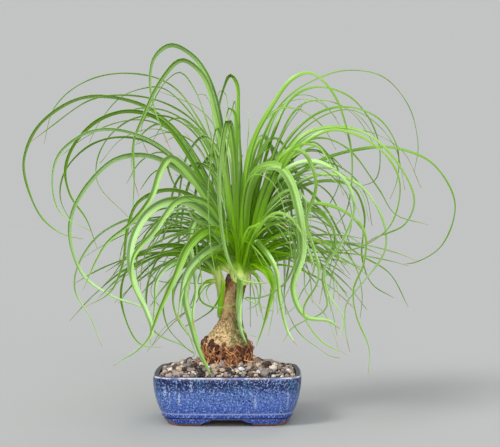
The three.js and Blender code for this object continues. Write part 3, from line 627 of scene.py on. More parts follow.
# thinner leaves that follow broad traced ones: which they follow, and how loosely, in mm and degrees
companions = {
    "count": 104,
    "widthFrom": 4,
    "rootBelow": 258,
    "across": (96, 388),
    "down": (74, 350),
    "skip": 7,
    "cut": (0.42, 0.86),
    "drift": 9.0,
    "depthDrift": 26.0,
    "upDrift": 0.7,
    "driftCurve": 0.9,
    "driftAtTip": 1.6,
    "swing": 5.0,
    "sag": (0.0, 34.0),
    "width": (1.8, 4.6),
    "tone": (0.0, 0.9),
    # they stay inside the solid leaves' box, in metres
    "within": ((-0.2449, 0.243), (-0.142, 0.142), (0.064, 0.397)),
}
# blades that rise from the crown: root in pixels, lean in degrees, lengths in pixels, depth and width in mm
crownFan = {
    "count": 66,
    "root": (239, 273),
    "lean": (-62, 64),
    "spacing": 0.618034,
    "reach": (84, 172),
    "shorterAside": 0.2,
    "droop": (0.45, 1.0),
    "below": (0, 82),
    "bend": (1.9, 3.1),
    "aside": (16, 62),
    "stem": 8,
    "marks": (0, 0.18, 0.36, 0.54, 0.72, 0.88, 1),
    "depth": (-50, 66),
    "tipDepth": 1.7,
    "width": (3.2, 6.8),
    "tone": (-0.1, 0.5),
}
sideFan = {
    "count": 11,
    "root": (219, 276),
    "lean": (-64, -10),
    "stray": 4,
    "reach": (42, 70),
    "droop": (6, 22),
    "aside": 0.5,
    "marks": (0, 0.35, 0.7, 1),
    "depth": (-24, -12),
    "tipDepth": 1.5,
    "width": (2.6, 4.2),
}
# long blades that arch away behind the crown, in mm and degrees; the arc is shares of reach and of rise
backFan = {
    "count": 13,
    "root": (12, 158),
    "spread": 62,
    "stray": 5,
    "reach": (88, 142),
    "top": (88, 168),
    "drop": (80, 190),
    "arc": ((0.02, -0.06), (0.12, 0.5), (0.3, 0.88), (0.52, 1.0), (0.78, 0.84), (0.96, 0.3)),
    "rootFace": 60,
    "width": (5, 8),
}
# cones of clasping leaf bases in mm, palest at one height: height, centre x, centre y, radius
mainSheath = {
    "profile": ((142.4, 11.9, 0, 8.8), (150, 12.0, 0, 9.0), (160, 12.2, 0, 9.2), (172, 12.6, 0, 8.2),
                (184, 13, 0, 5.6), (194, 13, 0, 2.0)),
    "strips": 22,
    "paleAt": 144.0,
    "paleFade": 1.0,
}
sideSheath = {
    "profile": ((108, -9.7, -3, 1.6), (124, -7.8, -4.8, 2.1), (137, -7.6, -6.7, 2.9), (148, -9, -8.4, 4.2),
                (157, -10, -9.4, 3.8), (163, -10, -10, 1.8)),
    "strips": 7,
    "paleAt": 150.0,
    "paleFade": 0.6,
}
# one clasping strip: shares of the cone's height, turns in degrees and radians, lifts in mm
stripForm = {
    "lastStart": 0.34,
    "length": (0.42, 0.62),
    "spacing": 137.5,
    "lean": 0.25,
    "reach": (0.75, 1.05),
    "steps": 12,
    "closing": 0.72,
    "closingCurve": 1.4,
    "lift": 0.5,
    "outerLift": 0.5,
    "tipLift": 1.3,
    "edgeDrop": 0.5,
    "along": 0.3,
}
coreForm = {"sides": 20, "perSpan": 6, "tone": 0.4}


def photoPoint(across, down, depth):
    # a pixel of the photograph at a depth in mm, as a place in metres
    eye = shot["eye"]
    scale = (depth / 1000.0 - eye.y) / shot["focal"]
    return Vector(((across - shot["centre"][0]) * scale + eye.x, depth / 1000.0,
                   eye.z + (shot["centre"][1] - down) * scale))


def middleCurve(t, ends):
    # a smooth run through a value at the root, the middle and the tip
    root, middle, tip = ends
    return root * (1 - t) * (1 - 2 * t) + middle * 4 * t * (1 - t) + tip * t * (2 * t - 1)


def photoRoute(pixels, depths, rootDepth):
    flat = [Vector(pixels[i:i + 2]) for i in range(0, len(pixels), 2)]
    runs = [0.0]
    for i in range(1, len(flat)):
        runs.append(runs[-1] + (flat[i] - flat[i - 1]).length)
    return [photoPoint(p.x, p.y, middleCurve(run / runs[-1], (rootDepth, *depths)))
            for p, run in zip(flat, runs)]


def leafWidth(t, width):
    tapered = width * (1 - leafForm["taper"] * t ** leafForm["taperCurve"])
    tapered = max(tapered, leafForm["leastWidth"]) / 1000.0
    nearTip = min((1.0 - t) / leafForm["tipShare"], 1.0)
    return leafForm["tip"] + (tapered - leafForm["tip"]) * nearTip ** leafForm["tipCurve"]


def leafFrames(stations, face):
    # for each station: place, the directions across and up from the blade, and the share of its route
    frames = []
    deep = None
    for k, (place, share) in enumerate(stations):
        tangent = tangentAt(stations, k)
        last = deep
        deep = (Vector((0.0, 1.0, 0.0)) - tangent * tangent.y).normalized()
        if last is not None and deep.dot(last) < 0.0:
            deep.negate()
        turn = math.radians(middleCurve(share, face))
        side = deep * math.cos(turn) + tangent.cross(deep) * math.sin(turn)
        frames.append((place, side, side.cross(tangent), share))
    return frames


def layLeaf(bm, layers, points, width, face, tone):
    samples = curveThrough(points)
    low, high = leafForm["steps"]
    total = runLength(samples)
    steps = max(low, min(high, round(total / leafForm["stepLength"])))
    frames = leafFrames(evenStations(samples, steps), face)
    columns = 4 if width > leafForm["narrow"] else 2
    phase = tone * leafForm["rippleShift"]
    for vert, column, row in layGrid(bm, columns, steps):
        x = column / columns * 2 - 1
        place, side, up, share = frames[row]
        half = leafWidth(share, width) / 2
        lift = half * leafForm["channel"] * (1 - abs(x) ** leafForm["channelCurve"])
        wave = math.sin(row / steps * total * leafForm["rippleRate"] + phase + x)
        lift += leafForm["ripple"] * wave * abs(x)
        vert.co = place + side * (x * half) + up * lift
        vert[layers["along"]] = row / steps
        vert[layers["across"]] = x
        vert[layers["tone"]] = tone
        vert[layers["rise"]] = row / steps * total * 1000.0


def laySheath(bm, layers, sheath, draw):
    # leaf bases that clasp each other: rising strips wrapped round the cone, from low and outside in
    profile = sheath["profile"]
    low, high = profile[0][0], profile[-1][0]
    for i in range(sheath["strips"]):
        level = i / sheath["strips"]
        start = low + (high - low) * stripForm["lastStart"] * level
        end = min(start + (high - low) * draw(*stripForm["length"]), high)
        middle = math.radians(stripForm["spacing"] * i)
        lean = draw(-stripForm["lean"], stripForm["lean"])
        reach = draw(*stripForm["reach"])
        tone = draw(0.0, 1.0)
        for vert, column, row in layGrid(bm, 4, stripForm["steps"]):
            x = column / 2 - 1
            t = row / stripForm["steps"]
            z = start + (end - start) * t
            centreX, centreY, radius = profileAt(profile, z)
            closed = 1 - stripForm["closing"] * t ** stripForm["closingCurve"]
            turn = middle + lean * t + reach * closed * x
            lift = stripForm["lift"] + stripForm["outerLift"] * (1 - level) + stripForm["tipLift"] * t * t
            lift -= stripForm["edgeDrop"] * abs(x)
            vert.co = Vector((centreX + (radius + lift) * math.cos(turn),
                              centreY + (radius + lift) * math.sin(turn), z)) / 1000.0
            vert[layers["along"]] = stripForm["along"] * t
            vert[layers["across"]] = x
            vert[layers["tone"]] = tone
            vert[layers["rise"]] = abs(z - sheath["paleAt"]) * sheath["paleFade"]


def layCore(bm, layers, sheath):
    profile = sheath["profile"]
    spots = curveThrough([Vector((z, x, radius)) for z, x, y, radius in profile], coreForm["perSpan"])
    rings = []
    for spot, share in spots:
        z, x, radius = spot
        y = profileAt(profile, z)[1]
        rings.append([Vector((x + radius * math.cos(turn), y + radius * math.sin(turn), z)) / 1000.0
                      for turn in anglesRound(coreForm["sides"])])
    rings = closeEnds(rings)
    layRings(bm, rings, (
        (layers["along"], lambda place, row, column: stripForm["along"] * row / len(rings)),
        (layers["rise"], lambda place, row, column: abs(place.z * 1000.0 - sheath["paleAt"])),
        (layers["tone"], lambda place, row, column: coreForm["tone"])))


def openLeafMesh():
    bm = bmesh.new()
    layers = {name: bm.verts.layers.float.new(name) for name in ("along", "across", "tone", "rise")}
    return bm, layers


def isFollowed(route):
    # a broad leaf whose route stays inside a window of the photograph
    width, depths, face, pixels = route
    left, right = companions["across"]
    top, bottom = companions["down"]
    return (width >= companions["widthFrom"] and pixels[1] > companions["rootBelow"]
            and min(pixels[::2]) > left and max(pixels[::2]) < right
            and min(pixels[1::2]) > top and max(pixels[1::2]) < bottom)


def companionRoutes(draw):
    # a little to each side of the leaf that they follow, and in depth; the last main leaf isn't followed
    followed = [route for route in (*mainRoutes[:-1], *fineRoutes) if isFollowed(route)]
    for i in range(companions["count"]):
        width, depths, face, pixels = followed[i * companions["skip"] % len(followed)]
        cut = draw(*companions["cut"])
        points = photoRoute(pixels, depths, rootDepths["main"])
        drift = Vector((draw(-1, 1), draw(-1, 1), draw(-companions["upDrift"], companions["upDrift"])))
        drift = Vector((drift.x * companions["drift"], drift.y * companions["depthDrift"],
                        drift.z * companions["drift"])) / 1000.0
        swung = Matrix.Rotation(math.radians(draw(-1, 1) * companions["swing"]), 3, "Y")
        sag = draw(*companions["sag"]) / 1000.0
        count = max(3, round(len(points) * cut))
        moved = []
        for k, point in enumerate(points[:count]):
            away = (k / (len(points) - 1)) ** companions["driftCurve"]
            place = points[0] + swung @ (point - points[0]) + drift * away * companions["driftAtTip"]
            place.z -= sag * (k / (count - 1)) ** 2
            for axis, (low, high) in enumerate(companions["within"]):
                place[axis] = max(low, min(high, place[axis]))
            moved.append(place)
        yield draw(*companions["width"]), moved


def crownRoutes(draw):
    # the many blades that rise from the crown and arch outward between the traced ones
    fromLean, toLean = crownFan["lean"]
    x, y = crownFan["root"]
    for i in range(crownFan["count"]):
        lean = math.radians(fromLean + (toLean - fromLean) * (i * crownFan["spacing"] % 1.0))
        reach = draw(*crownFan["reach"]) * (1.0 - crownFan["shorterAside"] * abs(math.sin(lean)))
        rise = math.cos(lean) * reach
        droop = rise * draw(*crownFan["droop"]) + abs(math.sin(lean)) * draw(*crownFan["below"])
        bend = draw(*crownFan["bend"])
        aside = draw(*crownFan["aside"]) * (1 if lean > 0.0 else -1)
        pixels = []
        for t in crownFan["marks"]:
            pixels += [x + math.sin(lean) * (crownFan["stem"] + reach * t) + aside * t * t,
                       y - rise * t + droop * t ** bend]
        depth = draw(*crownFan["depth"])
        points = photoRoute(pixels, (depth, depth * crownFan["tipDepth"]), rootDepths["main"])
        yield draw(*crownFan["width"]), points


def backRoutes(draw):
    # where the photograph shows nothing: each blade with its width and the turn of its face
    rootX, rootZ = backFan["root"]
    for i in range(backFan["count"]):
        side = i / (backFan["count"] - 1) * 2 - 1
        heading = math.radians(90 - side * backFan["spread"] + draw(-backFan["stray"], backFan["stray"]))
        reach = draw(*backFan["reach"])
        top = draw(*backFan["top"])
        drop = draw(*backFan["drop"])
        points = [Vector((rootX + math.cos(heading) * reach * out, math.sin(heading) * reach * out,
                          rootZ + top * rise)) / 1000.0
                  for out, rise in (*backFan["arc"], (1.0, 1 - drop / top))]
        turned = 90 - abs(side) * backFan["spread"]
        yield draw(*backFan["width"]), points, (backFan["rootFace"], turned, turned)


def sideRoutesBetween(draw):
    fromLean, toLean = sideFan["lean"]
    x, y = sideFan["root"]
    for i in range(sideFan["count"]):
        lean = fromLean + (toLean - fromLean) * i / (sideFan["count"] - 1)
        lean = math.radians(lean + draw(-sideFan["stray"], sideFan["stray"]))
        reach = draw(*sideFan["reach"])
        droop = draw(*sideFan["droop"])
        pixels = []
        for t in sideFan["marks"]:
            pixels += [x + math.sin(lean) * reach * t - droop * sideFan["aside"] * t * t,
                       y - math.cos(lean) * reach * t + droop * t * t]
        depth = draw(*sideFan["depth"])
        points = photoRoute(pixels, (depth, depth * sideFan["tipDepth"]), rootDepths["side"])
        yield draw(*sideFan["width"]), points


leafLook = {
    # greens from dark to pale; the mint end stands for a painted sheen of sky reflection
    "greens": [(0.0, tint(46, 90, 4)), (0.3, tint(80, 138, 6)), (0.52, tint(116, 168, 24)),
               (0.76, tint(148, 192, 92)), (1.0, tint(200, 234, 178))],
    # the veins' own colour, also used for painted highlights on the stripe and the edges
    "ribAndHighlight": tint(170, 214, 96),
    "shadow": tint(32, 72, 2),
    "youngAndGlow": tint(154, 214, 4),
    "pale": tint(240, 252, 152),
    "dry": tint(178, 150, 104),
    "glow": tint(164, 216, 4),
    "roughness": 0.31,
    "specular": 0.42,
    "through": 0.12,
    "glowShare": 0.55,
    # the grain's stretch across, along and from leaf to leaf; scale, detail and roughness of the noises
    "grain": (2.6, 1.3, 37.0),
    "streaks": (2.2, 2.0, 0.5),
    "patches": (24.0, 1.0),
    # what streaks, the leaf's tone and patches add to its shade, and painted shade towards the root that
    # lifts to a painted sheen further out, by share of the blade
    "shadeShares": (0.7, 0.45, 0.25),
    "rootShadeOuterSheen": (0.15, 0.6, -0.2, -0.02),
    "veins": 14.0,
    "veinShare": 0.14,
    "veinHeight": 0.3,
    # a painted highlight stripe along the blade: how far its place moves with the tone, its half width and
    # its share
    "stripeMove": 1.2,
    "stripe": (0.3, 0.08),
    "stripeShare": 0.45,
    # painted shade over one half of the folded blade
    "foldShade": (0.1, -0.25, 0.0, 0.45),
    # a painted highlight along both edges of the blade
    "edge": (0.8, 1.0, 0.0, 0.35),
    # young green from the root in mm along the blade, less of it on pale leaves; it reaches this far to
    # stand also for painted light in the shaded crown centre
    "youngAndGlowTo": (24.0, 110.0, 0.85, 0.0),
    "youngAndGlowTones": (1.0, 0.6),
    "paleTo": (8.0, 19.0, 1.0, 0.0),
    "paleBreak": 9.0,
    # dry tips on some leaves
    "dryChance": 7.1,
    "dryFrom": 1.02,
    "dryLength": 0.06,
    "dryBreak": 0.05,
    "dryShare": 0.85,
    "relief": (2.0, 0.1),
}


def makeLeafMaterial(name, look):
    material, tree, shader = openMaterial(name)
    along, across, tone, rise = readFloats(tree, "along", "across", "tone", "rise")
    stretched = [times(tree, value, scale) for value, scale in zip((across, along, tone), look["grain"])]
    grain = addNode(tree, "ShaderNodeCombineXYZ", dict(enumerate(stretched))).outputs[0]
    streaks = cloud(tree, grain, *look["streaks"])
    patches = cloud(tree, ownPlace(tree), *look["patches"])
    streakShare, toneShare, patchShare = look["shadeShares"]
    shade = plus(tree, times(tree, streaks, streakShare), times(tree, tone, toneShare))
    shade = plus(tree, shade, times(tree, patches, patchShare))
    # painted shade at the root, lighter further out for a painted sheen
    shade = plus(tree, shade, band(tree, along, *look["rootShadeOuterSheen"]))
    green = ramp(tree, shade, look["greens"])
    veins = calc(tree, "SINE", times(tree, across, look["veins"]))
    ribs = times(tree, plus(tree, veins, 1.0), 0.5)
    green = coat(tree, green, look["ribAndHighlight"], ribs, look["veinShare"])
    # a painted highlight stripe along the blade
    stripeAt = less(tree, times(tree, tone, look["stripeMove"]), look["stripeMove"] / 2)
    stripe = band(tree, absolute(tree, less(tree, across, stripeAt)), *look["stripe"])
    green = coat(tree, green, look["ribAndHighlight"], stripe, look["stripeShare"])
    # painted shade on one half of the blade
    green = coat(tree, green, look["shadow"], band(tree, across, *look["foldShade"]))
    # painted highlight along the blade's edges
    green = coat(tree, green, look["ribAndHighlight"], band(tree, absolute(tree, across), *look["edge"]))
    # young green near the root, partly painted light that brightens the shaded crown centre
    youngAndGlow = times(tree, band(tree, rise, *look["youngAndGlowTo"]), band(tree, tone, *look["youngAndGlowTones"]))
    green = coat(tree, green, look["youngAndGlow"], youngAndGlow)
    fromBase = plus(tree, rise, swing(tree, streaks, look["paleBreak"]))
    green = coat(tree, green, look["pale"], band(tree, fromBase, *look["paleTo"]))
    dryness = calc(tree, "POWER", calc(tree, "FRACT", times(tree, tone, look["dryChance"])), 3.0)
    dryFrom = less(tree, look["dryFrom"], times(tree, dryness, look["dryLength"]))
    dry = calc(tree, "GREATER_THAN", plus(tree, along, times(tree, streaks, look["dryBreak"])), dryFrom)
    colour = coat(tree, green, look["dry"], dry, look["dryShare"])
    finishShader(tree, shader, look, colour, grain, times(tree, ribs, look["veinHeight"]))
    shader.inputs["Specular IOR Level"].default_value = look["specular"]
    glow = addNode(tree, "ShaderNodeBsdfTranslucent", {
        "Color": coat(tree, colour, look["glow"], look["glowShare"])})
    mixed = addNode(tree, "ShaderNodeMixShader", {
        0: look["through"], 1: shader.outputs[0], 2: glow.outputs[0]})
    tree.links.new(mixed.outputs[0], tree.nodes["Material Output"].inputs["Surface"])
    return material


# a traced leaf's tone, which carries its painted sheen or painted shade
def sheenAndShadeTone(place, draw):
    shade = next((name for name, places in sheenAndShadeLeaves.items() if place in places), "fresh")
    return sheenAndShadeTones[shade] + draw(-shadeSpread, shadeSpread)


def thicken(bm):
    bmesh.ops.solidify(bm, geom=bm.faces[:], thickness=leafForm["thickness"])


def makeMainLeaves(material):
    bm, layers = openLeafMesh()
    draw = seededDraws("main")
    for place, (width, depths, face, pixels) in enumerate((*mainRoutes, *fineRoutes)):
        points = photoRoute(pixels, depths, rootDepths["main"])
        layLeaf(bm, layers, points, width, face, sheenAndShadeTone(place, draw))
    thicken(bm)
    finishPiece("main_leaves", bm, material, "main_head")


def makeInnerLeaves(material):
    bm, layers = openLeafMesh()
    draw = seededDraws("inner")
    for width, points in companionRoutes(draw):
        layLeaf(bm, layers, points, width, edgeOn, draw(*companions["tone"]))
    for width, points in crownRoutes(draw):
        layLeaf(bm, layers, points, width, slanted, draw(*crownFan["tone"]))
    laySheath(bm, layers, mainSheath, draw)
    for width, points, face in backRoutes(seededDraws("back")):
        layLeaf(bm, layers, points, width, face, draw(0.0, 1.0))
    thicken(bm)
    layCore(bm, layers, mainSheath)
    finishPiece("inner_leaves", bm, material, "main_head")


def makeSideLeaves():
    bm, layers = openLeafMesh()
    draw = seededDraws("side")
    for width, depths, face, pixels in sideRoutes:
        layLeaf(bm, layers, photoRoute(pixels, depths, rootDepths["side"]), width, face, draw(0.0, 1.0))
    for width, points in sideRoutesBetween(seededDraws("sideFan")):
        layLeaf(bm, layers, points, width, edgeOn, draw(0.0, 1.0))
    laySheath(bm, layers, sideSheath, draw)
    thicken(bm)
    layCore(bm, layers, sideSheath)
    look = {**leafLook, "pale": tint(204, 218, 122), "paleTo": (4.0, 15.0, 1.0, 0.0),
            "youngAndGlowTo": (10.0, 50.0, 0.85, 0.0)}
    finishPiece("side_leaves", bm, makeLeafMaterial("young_leaf", look), "side_head")


leafMaterial = makeLeafMaterial("leaf", leafLook)
makeMainLeaves(leafMaterial)
makeInnerLeaves(leafMaterial)
makeSideLeaves()
print("leaves")


# the pot in mm, from the feet to the rim
potForm = {
    # height and half width of the outer wall
    "outer": ((0, 61.4), (1.6, 62.6), (4.5, 64.6), (7.5, 66.2), (8.1, 65.9), (8.7, 66.1), (9.4, 67.6),
              (10.2, 68), (13, 68.2), (14, 68.7), (17, 70.1), (21, 71.6), (25, 72.9), (30, 74.2),
              (35.5, 75.3), (41, 76), (46, 76.4), (49, 76.4), (50.4, 76.2), (51.3, 75.7), (51.8, 75.1)),
    # height, half width and inset over the rim
    "rim": ((52, 75.1, 0.8), (52.05, 75.1, 2.4), (51.9, 75.1, 3.8), (51.4, 75.3, 4.6), (50.4, 76, 5.0)),
    "innerHeights": (46, 38, 30, 22, 15.5),
    "wall": 5.0,
    "floor": 12.5,
    # inset, rise and share of the ring's size, from the wall's foot to the middle of the floor
    "floorRings": ((5.9, 0.9, 1.0), (8.0, 0.0, 1.0), (8.0, 0.0, 0.6), (8.0, 0.0, 0.25)),
    "underShares": (0.3, 0.65),
    # how much less the pot measures from its middle to the front than to the side
    "narrower": 17.5,
    "bow": 1.6,
    "cornerRadius": 20.0,
    "leastRadius": 4.0,
    "cornerSteps": 10,
    "sideSteps": 16,
    "arches": {"across": 54, "along": 36, "height": 7.4, "lobe": 5, "scoop": 11, "lobeShare": 0.6,
               "steps": 40, "below": 2.0, "reach": 90.0},
    "drains": {"x": 30, "radius": 6, "segments": 48, "depth": 30, "z": 10},
    # rounded edges, where two faces meet at more than so many degrees
    "edges": {"width": 0.6, "segments": 2, "from": 52.0},
    "sharpFrom": 32.0,
}


def potRing(halfWidth, z, inset=0.0, share=1.0):
    halfX = halfWidth - inset
    halfY = halfWidth - potForm["narrower"] - inset
    radius = max(potForm["cornerRadius"] - inset, potForm["leastRadius"])
    points = []
    for corner in range(4):
        signX = 1 if corner in (0, 3) else -1
        signY = 1 if corner < 2 else -1
        for step in range(potForm["cornerSteps"] + 1):
            turn = (corner + step / potForm["cornerSteps"]) * math.pi / 2
            points.append((signX * (halfX - radius) + radius * math.cos(turn),
                           signY * (halfY - radius) + radius * math.sin(turn)))
        endX, endY = points[-1]
        run = 2 * ((halfY if corner % 2 else halfX) - radius)
        for step in range(1, potForm["sideSteps"]):
            t = step / potForm["sideSteps"]
            out = potForm["bow"] * 4 * t * (1 - t)
            if corner % 2:
                points.append((endX + signX * out, endY - signY * run * t))
            else:
                points.append((endX - signX * run * t, endY + signY * out))
    return [Vector((x * share, y * share, z)) / 1000.0 for x, y in points]


def potHalfWidth(z):
    return profileAt(potForm["outer"], z)[0]


def pole(like, z, x=0.0):
    # one point repeated as often as a ring has points
    return [Vector((x, 0.0, z)) / 1000.0] * len(like)


def archHeight(fromEnd):
    # the cloud-shaped arch between two feet: a round lobe, then a scoop up to the flat top
    arch = potForm["arches"]
    share = arch["lobeShare"]
    if fromEnd < arch["lobe"]:
        return arch["height"] * share * math.sqrt(1 - (1 - fromEnd / arch["lobe"]) ** 2)
    t = min((fromEnd - arch["lobe"]) / (arch["scoop"] - arch["lobe"]), 1.0)
    return arch["height"] * (share + (1 - share) * t ** 2)


def makeCutters():
    # two bars in the form of the arches, one through each pair of sides, and the two drain holes
    bm = bmesh.new()
    arch = potForm["arches"]
    reach = arch["reach"]
    for gap, turned in ((arch["across"], False), (arch["along"], True)):
        laid = layGrid(bm, arch["steps"], 1)
        for vert, column, row in laid:
            along = -math.cos(math.pi * column / arch["steps"]) * gap / 2
            z = archHeight(gap / 2 - abs(along)) if row else -arch["below"]
            vert.co = Vector((reach, along, z) if turned else (along, reach, z)) / 1000.0
        faces = dict.fromkeys(face for vert, column, row in laid for face in vert.link_faces)
        pulled = bmesh.ops.extrude_face_region(bm, geom=list(faces), use_keep_orig=True)["geom"]
        back = Vector((-2 * reach, 0, 0) if turned else (0, -2 * reach, 0)) / 1000.0
        bmesh.ops.translate(bm, vec=back, verts=[v for v in pulled if isinstance(v, bmesh.types.BMVert)])
    drains = potForm["drains"]
    radius = drains["radius"] / 1000.0
    for side in (-1, 1):
        place = Matrix.Translation((side * drains["x"] / 1000.0, 0.0, drains["z"] / 1000.0))
        bmesh.ops.create_cone(bm, cap_ends=True, segments=drains["segments"], radius1=radius, radius2=radius,
                              depth=drains["depth"] / 1000.0, matrix=place)
    bmesh.ops.recalc_face_normals(bm, faces=bm.faces)
    return meshObject("cutters", bm)


glazeLook = {
    "base": tint(36, 64, 150),
    "low": tint(60, 90, 168),
    "middle": tint(77, 105, 173),
    "top": tint(10, 29, 76),
    "teal": tint(40, 92, 140),
    "ink": tint(8, 12, 34),
    "pale": tint(150, 174, 232),
    "dripAndHighlight": tint(176, 190, 230),
    # the colour of the painted highlight on the rim's outer edge
    "rim": tint(194, 192, 206),
    "rimBreak": tint(120, 84, 66),
    "grooveShade": tint(24, 27, 66),
    "clay": tint(112, 72, 58),
    "bare": tint(146, 108, 86),
    "specular": 0.42,
    "gloss": (0.3, 0.7, 0.14, 0.26),
    "bareRougher": 0.6,
    "relief": (0.22, 0.16),
    "dripHeight": 0.8,
}
# where the glaze changes, heights and widths in mm: pairs are the ends of a soft change
glazeForm = {
    # scale, detail and roughness of the noises
    "wide": (0.045, 3.0),
    "mottle": (0.32, 4.0, 0.65),
    "speck": (0.72, 2.0, 0.6),
    # colours that take over towards the rim, and how far the mottle breaks their edges
    "coats": (("low", (9.0, 19.0)), ("middle", (17.0, 33.0)), ("top", (30.0, 46.0))),
    "coatBreak": 16.0,
    "tealPatches": (0.48, 0.62),
    "tealHeight": (24.0, 42.0),
    "tealShare": 0.75,
    # ink specks thicken towards the rim: from and to in height, then the level of noise at each end
    "inkLevel": (10.0, 48.0, 0.57, 0.49),
    "inkSteepness": 14.0,
    "inkShare": 0.85,
    "paleStretch": (1.0, 1.0, 0.8),
    "paleSpeck": (0.7, 2.0, 0.6),
    "paleLevel": (0.53, 9.0),
    "paleShare": 0.7,
    # drips: x, half width, top and foot
    "drips": ((-63.0, 1.3, 42, 30), (-48.4, 1.5, 37, 22), (-35.6, 1.3, 46, 36), (29.0, 1.4, 33, 19),
              (62.0, 1.3, 37, 22), (-58.0, 0.8, 40, 31)),
    "dripSway": (0.14, 2.0),
    "dripSwayReach": 5.0,
    "dripSide": (1.3, 0.3),
    "dripEnd": (3.0, 4.0),
    "dripFront": (-30.0, -45.0),
    "dripBreak": (0.6, 0.4, 0.1, 0.75),
    # thin runs all round
    "runStretch": (0.34, 0.34, 0.035),
    "runs": (1.0, 3.0),
    "runLevel": (0.62, 3.0),
    "runHeight": (22.0, 40.0),
    # the rim's painted highlight along its outer edge, its dark top and the broken patches in it
    "rimTop": (51.55, 51.95),
    "rimFoot": (50.1, 50.7),
    "rimBreak": 3.0,
    "rimBreakShare": 0.5,
    "rimOutward": (0.0, 12.0),
    "patchStretch": (0.05, 0.05, 0.02),
    "patchNoise": (1.0, 3.0, 0.6),
    "patch": (0.46, 0.58, 0.0, 0.8),
    "warmStretch": (0.11, 0.11, 0.02),
    "warmNoise": (1.0, 2.0, 0.5),
    "warm": (0.46, 0.62, 0.0, 0.7),
    # a painted highlight line over the foot band and painted shade in the groove under it: colour, foot, top
    # and share
    "lines": (("dripAndHighlight", (12.2, 13.2), (15.0, 13.8), 0.45), ("grooveShade", (7.3, 8.0), (9.6, 8.9), 0.9)),
    # bare clay: the bottoms of the feet, and what lies under and inside
    "clayTop": 2.4,
    "clayBreak": 2.0,
    "bareHalfX": 60.0,
    "bareHalfY": 42.6,
    "bareTop": 44.0,
}


def shadeGlaze(tree, place, z, mottle, speck):
    # the glaze by height, with teal patches, ink specks and pale specks
    look, form = glazeLook, glazeForm
    wide = cloud(tree, place, *form["wide"])
    height = plus(tree, z, swing(tree, mottle, form["coatBreak"]))
    colour = look["base"]
    for name, change in form["coats"]:
        colour = coat(tree, colour, look[name], band(tree, height, *change))
    teal = times(tree, band(tree, wide, *form["tealPatches"]), band(tree, z, *form["tealHeight"]))
    colour = coat(tree, colour, look["teal"], teal, form["tealShare"])
    ink = above(tree, speck, band(tree, z, *form["inkLevel"]), form["inkSteepness"])
    colour = coat(tree, colour, look["ink"], ink, form["inkShare"])
    paleSpeck = cloud(tree, stretch(tree, place, form["paleStretch"]), *form["paleSpeck"])
    return coat(tree, colour, look["pale"], above(tree, paleSpeck, *form["paleLevel"]), form["paleShare"])


def findDrips(tree, place, x, y, z):
    # a few wide drips on the front, thin runs all round
    form = glazeForm
    across = plus(tree, x, swing(tree, cloud(tree, place, *form["dripSway"]), form["dripSwayReach"]))
    runs = cloud(tree, stretch(tree, place, form["runStretch"]), *form["runs"])
    drips = times(tree, above(tree, runs, *form["runLevel"]), band(tree, z, *form["runHeight"]))
    front = band(tree, y, *form["dripFront"])
    outer, inner = form["dripSide"]
    past, before = form["dripEnd"]
    for middle, half, top, foot in form["drips"]:
        far = absolute(tree, less(tree, across, middle))
        stripe = times(tree, band(tree, far, half * outer, half * inner), front)
        stripe = times(tree, stripe, band(tree, z, foot - past, foot + before))
        stripe = times(tree, stripe, band(tree, z, top + past, top - before))
        drips = calc(tree, "MAXIMUM", drips, stripe)
    return drips


def shadeRim(tree, colour, place, normal, z, mottle):
    # a painted highlight along the rim's outer edge, broken by brown patches where the glaze breaks and by
    # blue ones, and the rim stays dark on its top
    look, form = glazeLook, glazeForm
    top = band(tree, z, *form["rimTop"])
    colour = coat(tree, colour, look["ink"], top)
    edge = times(tree, swing(tree, mottle, form["rimBreak"]), form["rimBreakShare"])
    rim = times(tree, band(tree, plus(tree, z, edge), *form["rimFoot"]), less(tree, 1.0, top))
    facing = addNode(tree, "ShaderNodeVectorMath", {0: place, 1: normal}, operation="DOT_PRODUCT")
    rim = times(tree, rim, band(tree, facing.outputs["Value"], *form["rimOutward"]))
    patches = cloud(tree, stretch(tree, place, form["patchStretch"]), *form["patchNoise"])
    warm = cloud(tree, stretch(tree, place, form["warmStretch"]), *form["warmNoise"])
    rimHighlightColour = coat(tree, look["rim"], look["rimBreak"], band(tree, warm, *form["warm"]))
    rimHighlightColour = coat(tree, rimHighlightColour, look["middle"], band(tree, patches, *form["patch"]))
    return coat(tree, colour, rimHighlightColour, rim)


def makeGlaze():
    look, form = glazeLook, glazeForm
    material, tree, shader = openMaterial("pot_glaze")
    given = addNode(tree, "ShaderNodeTexCoord").outputs
    place = inMillimetres(tree, given["Object"])
    x, y, z = addNode(tree, "ShaderNodeSeparateXYZ", {0: place}).outputs
    mottle = cloud(tree, place, *form["mottle"])
    speck = cloud(tree, place, *form["speck"])
    colour = shadeGlaze(tree, place, z, mottle, speck)
    drips = findDrips(tree, place, x, y, z)
    colour = coat(tree, colour, look["dripAndHighlight"], times(tree, drips, band(tree, speck, *form["dripBreak"])))
    colour = shadeRim(tree, colour, place, given["Normal"], z, mottle)
    # a painted highlight line over the foot band and painted shade in the groove
    for name, foot, top, share in form["lines"]:
        line = times(tree, band(tree, z, *foot), band(tree, z, *top))
        colour = coat(tree, colour, look[name], line, share)
    clay = calc(tree, "LESS_THAN", z, plus(tree, form["clayTop"], swing(tree, mottle, form["clayBreak"])))
    inX = calc(tree, "LESS_THAN", absolute(tree, x), form["bareHalfX"])
    inY = calc(tree, "LESS_THAN", absolute(tree, y), form["bareHalfY"])
    under = times(tree, times(tree, inX, inY), calc(tree, "LESS_THAN", z, form["bareTop"]))
    colour = coat(tree, coat(tree, colour, look["clay"], clay), look["bare"], under)
    bare = calc(tree, "MAXIMUM", clay, under)
    feed(tree, shader, {
        "Base Color": colour,
        "Roughness": plus(tree, band(tree, mottle, *look["gloss"]), times(tree, bare, look["bareRougher"])),
        "Specular IOR Level": look["specular"],
        "Normal": relief(tree, place, *look["relief"], times(tree, drips, look["dripHeight"]))})
    return material


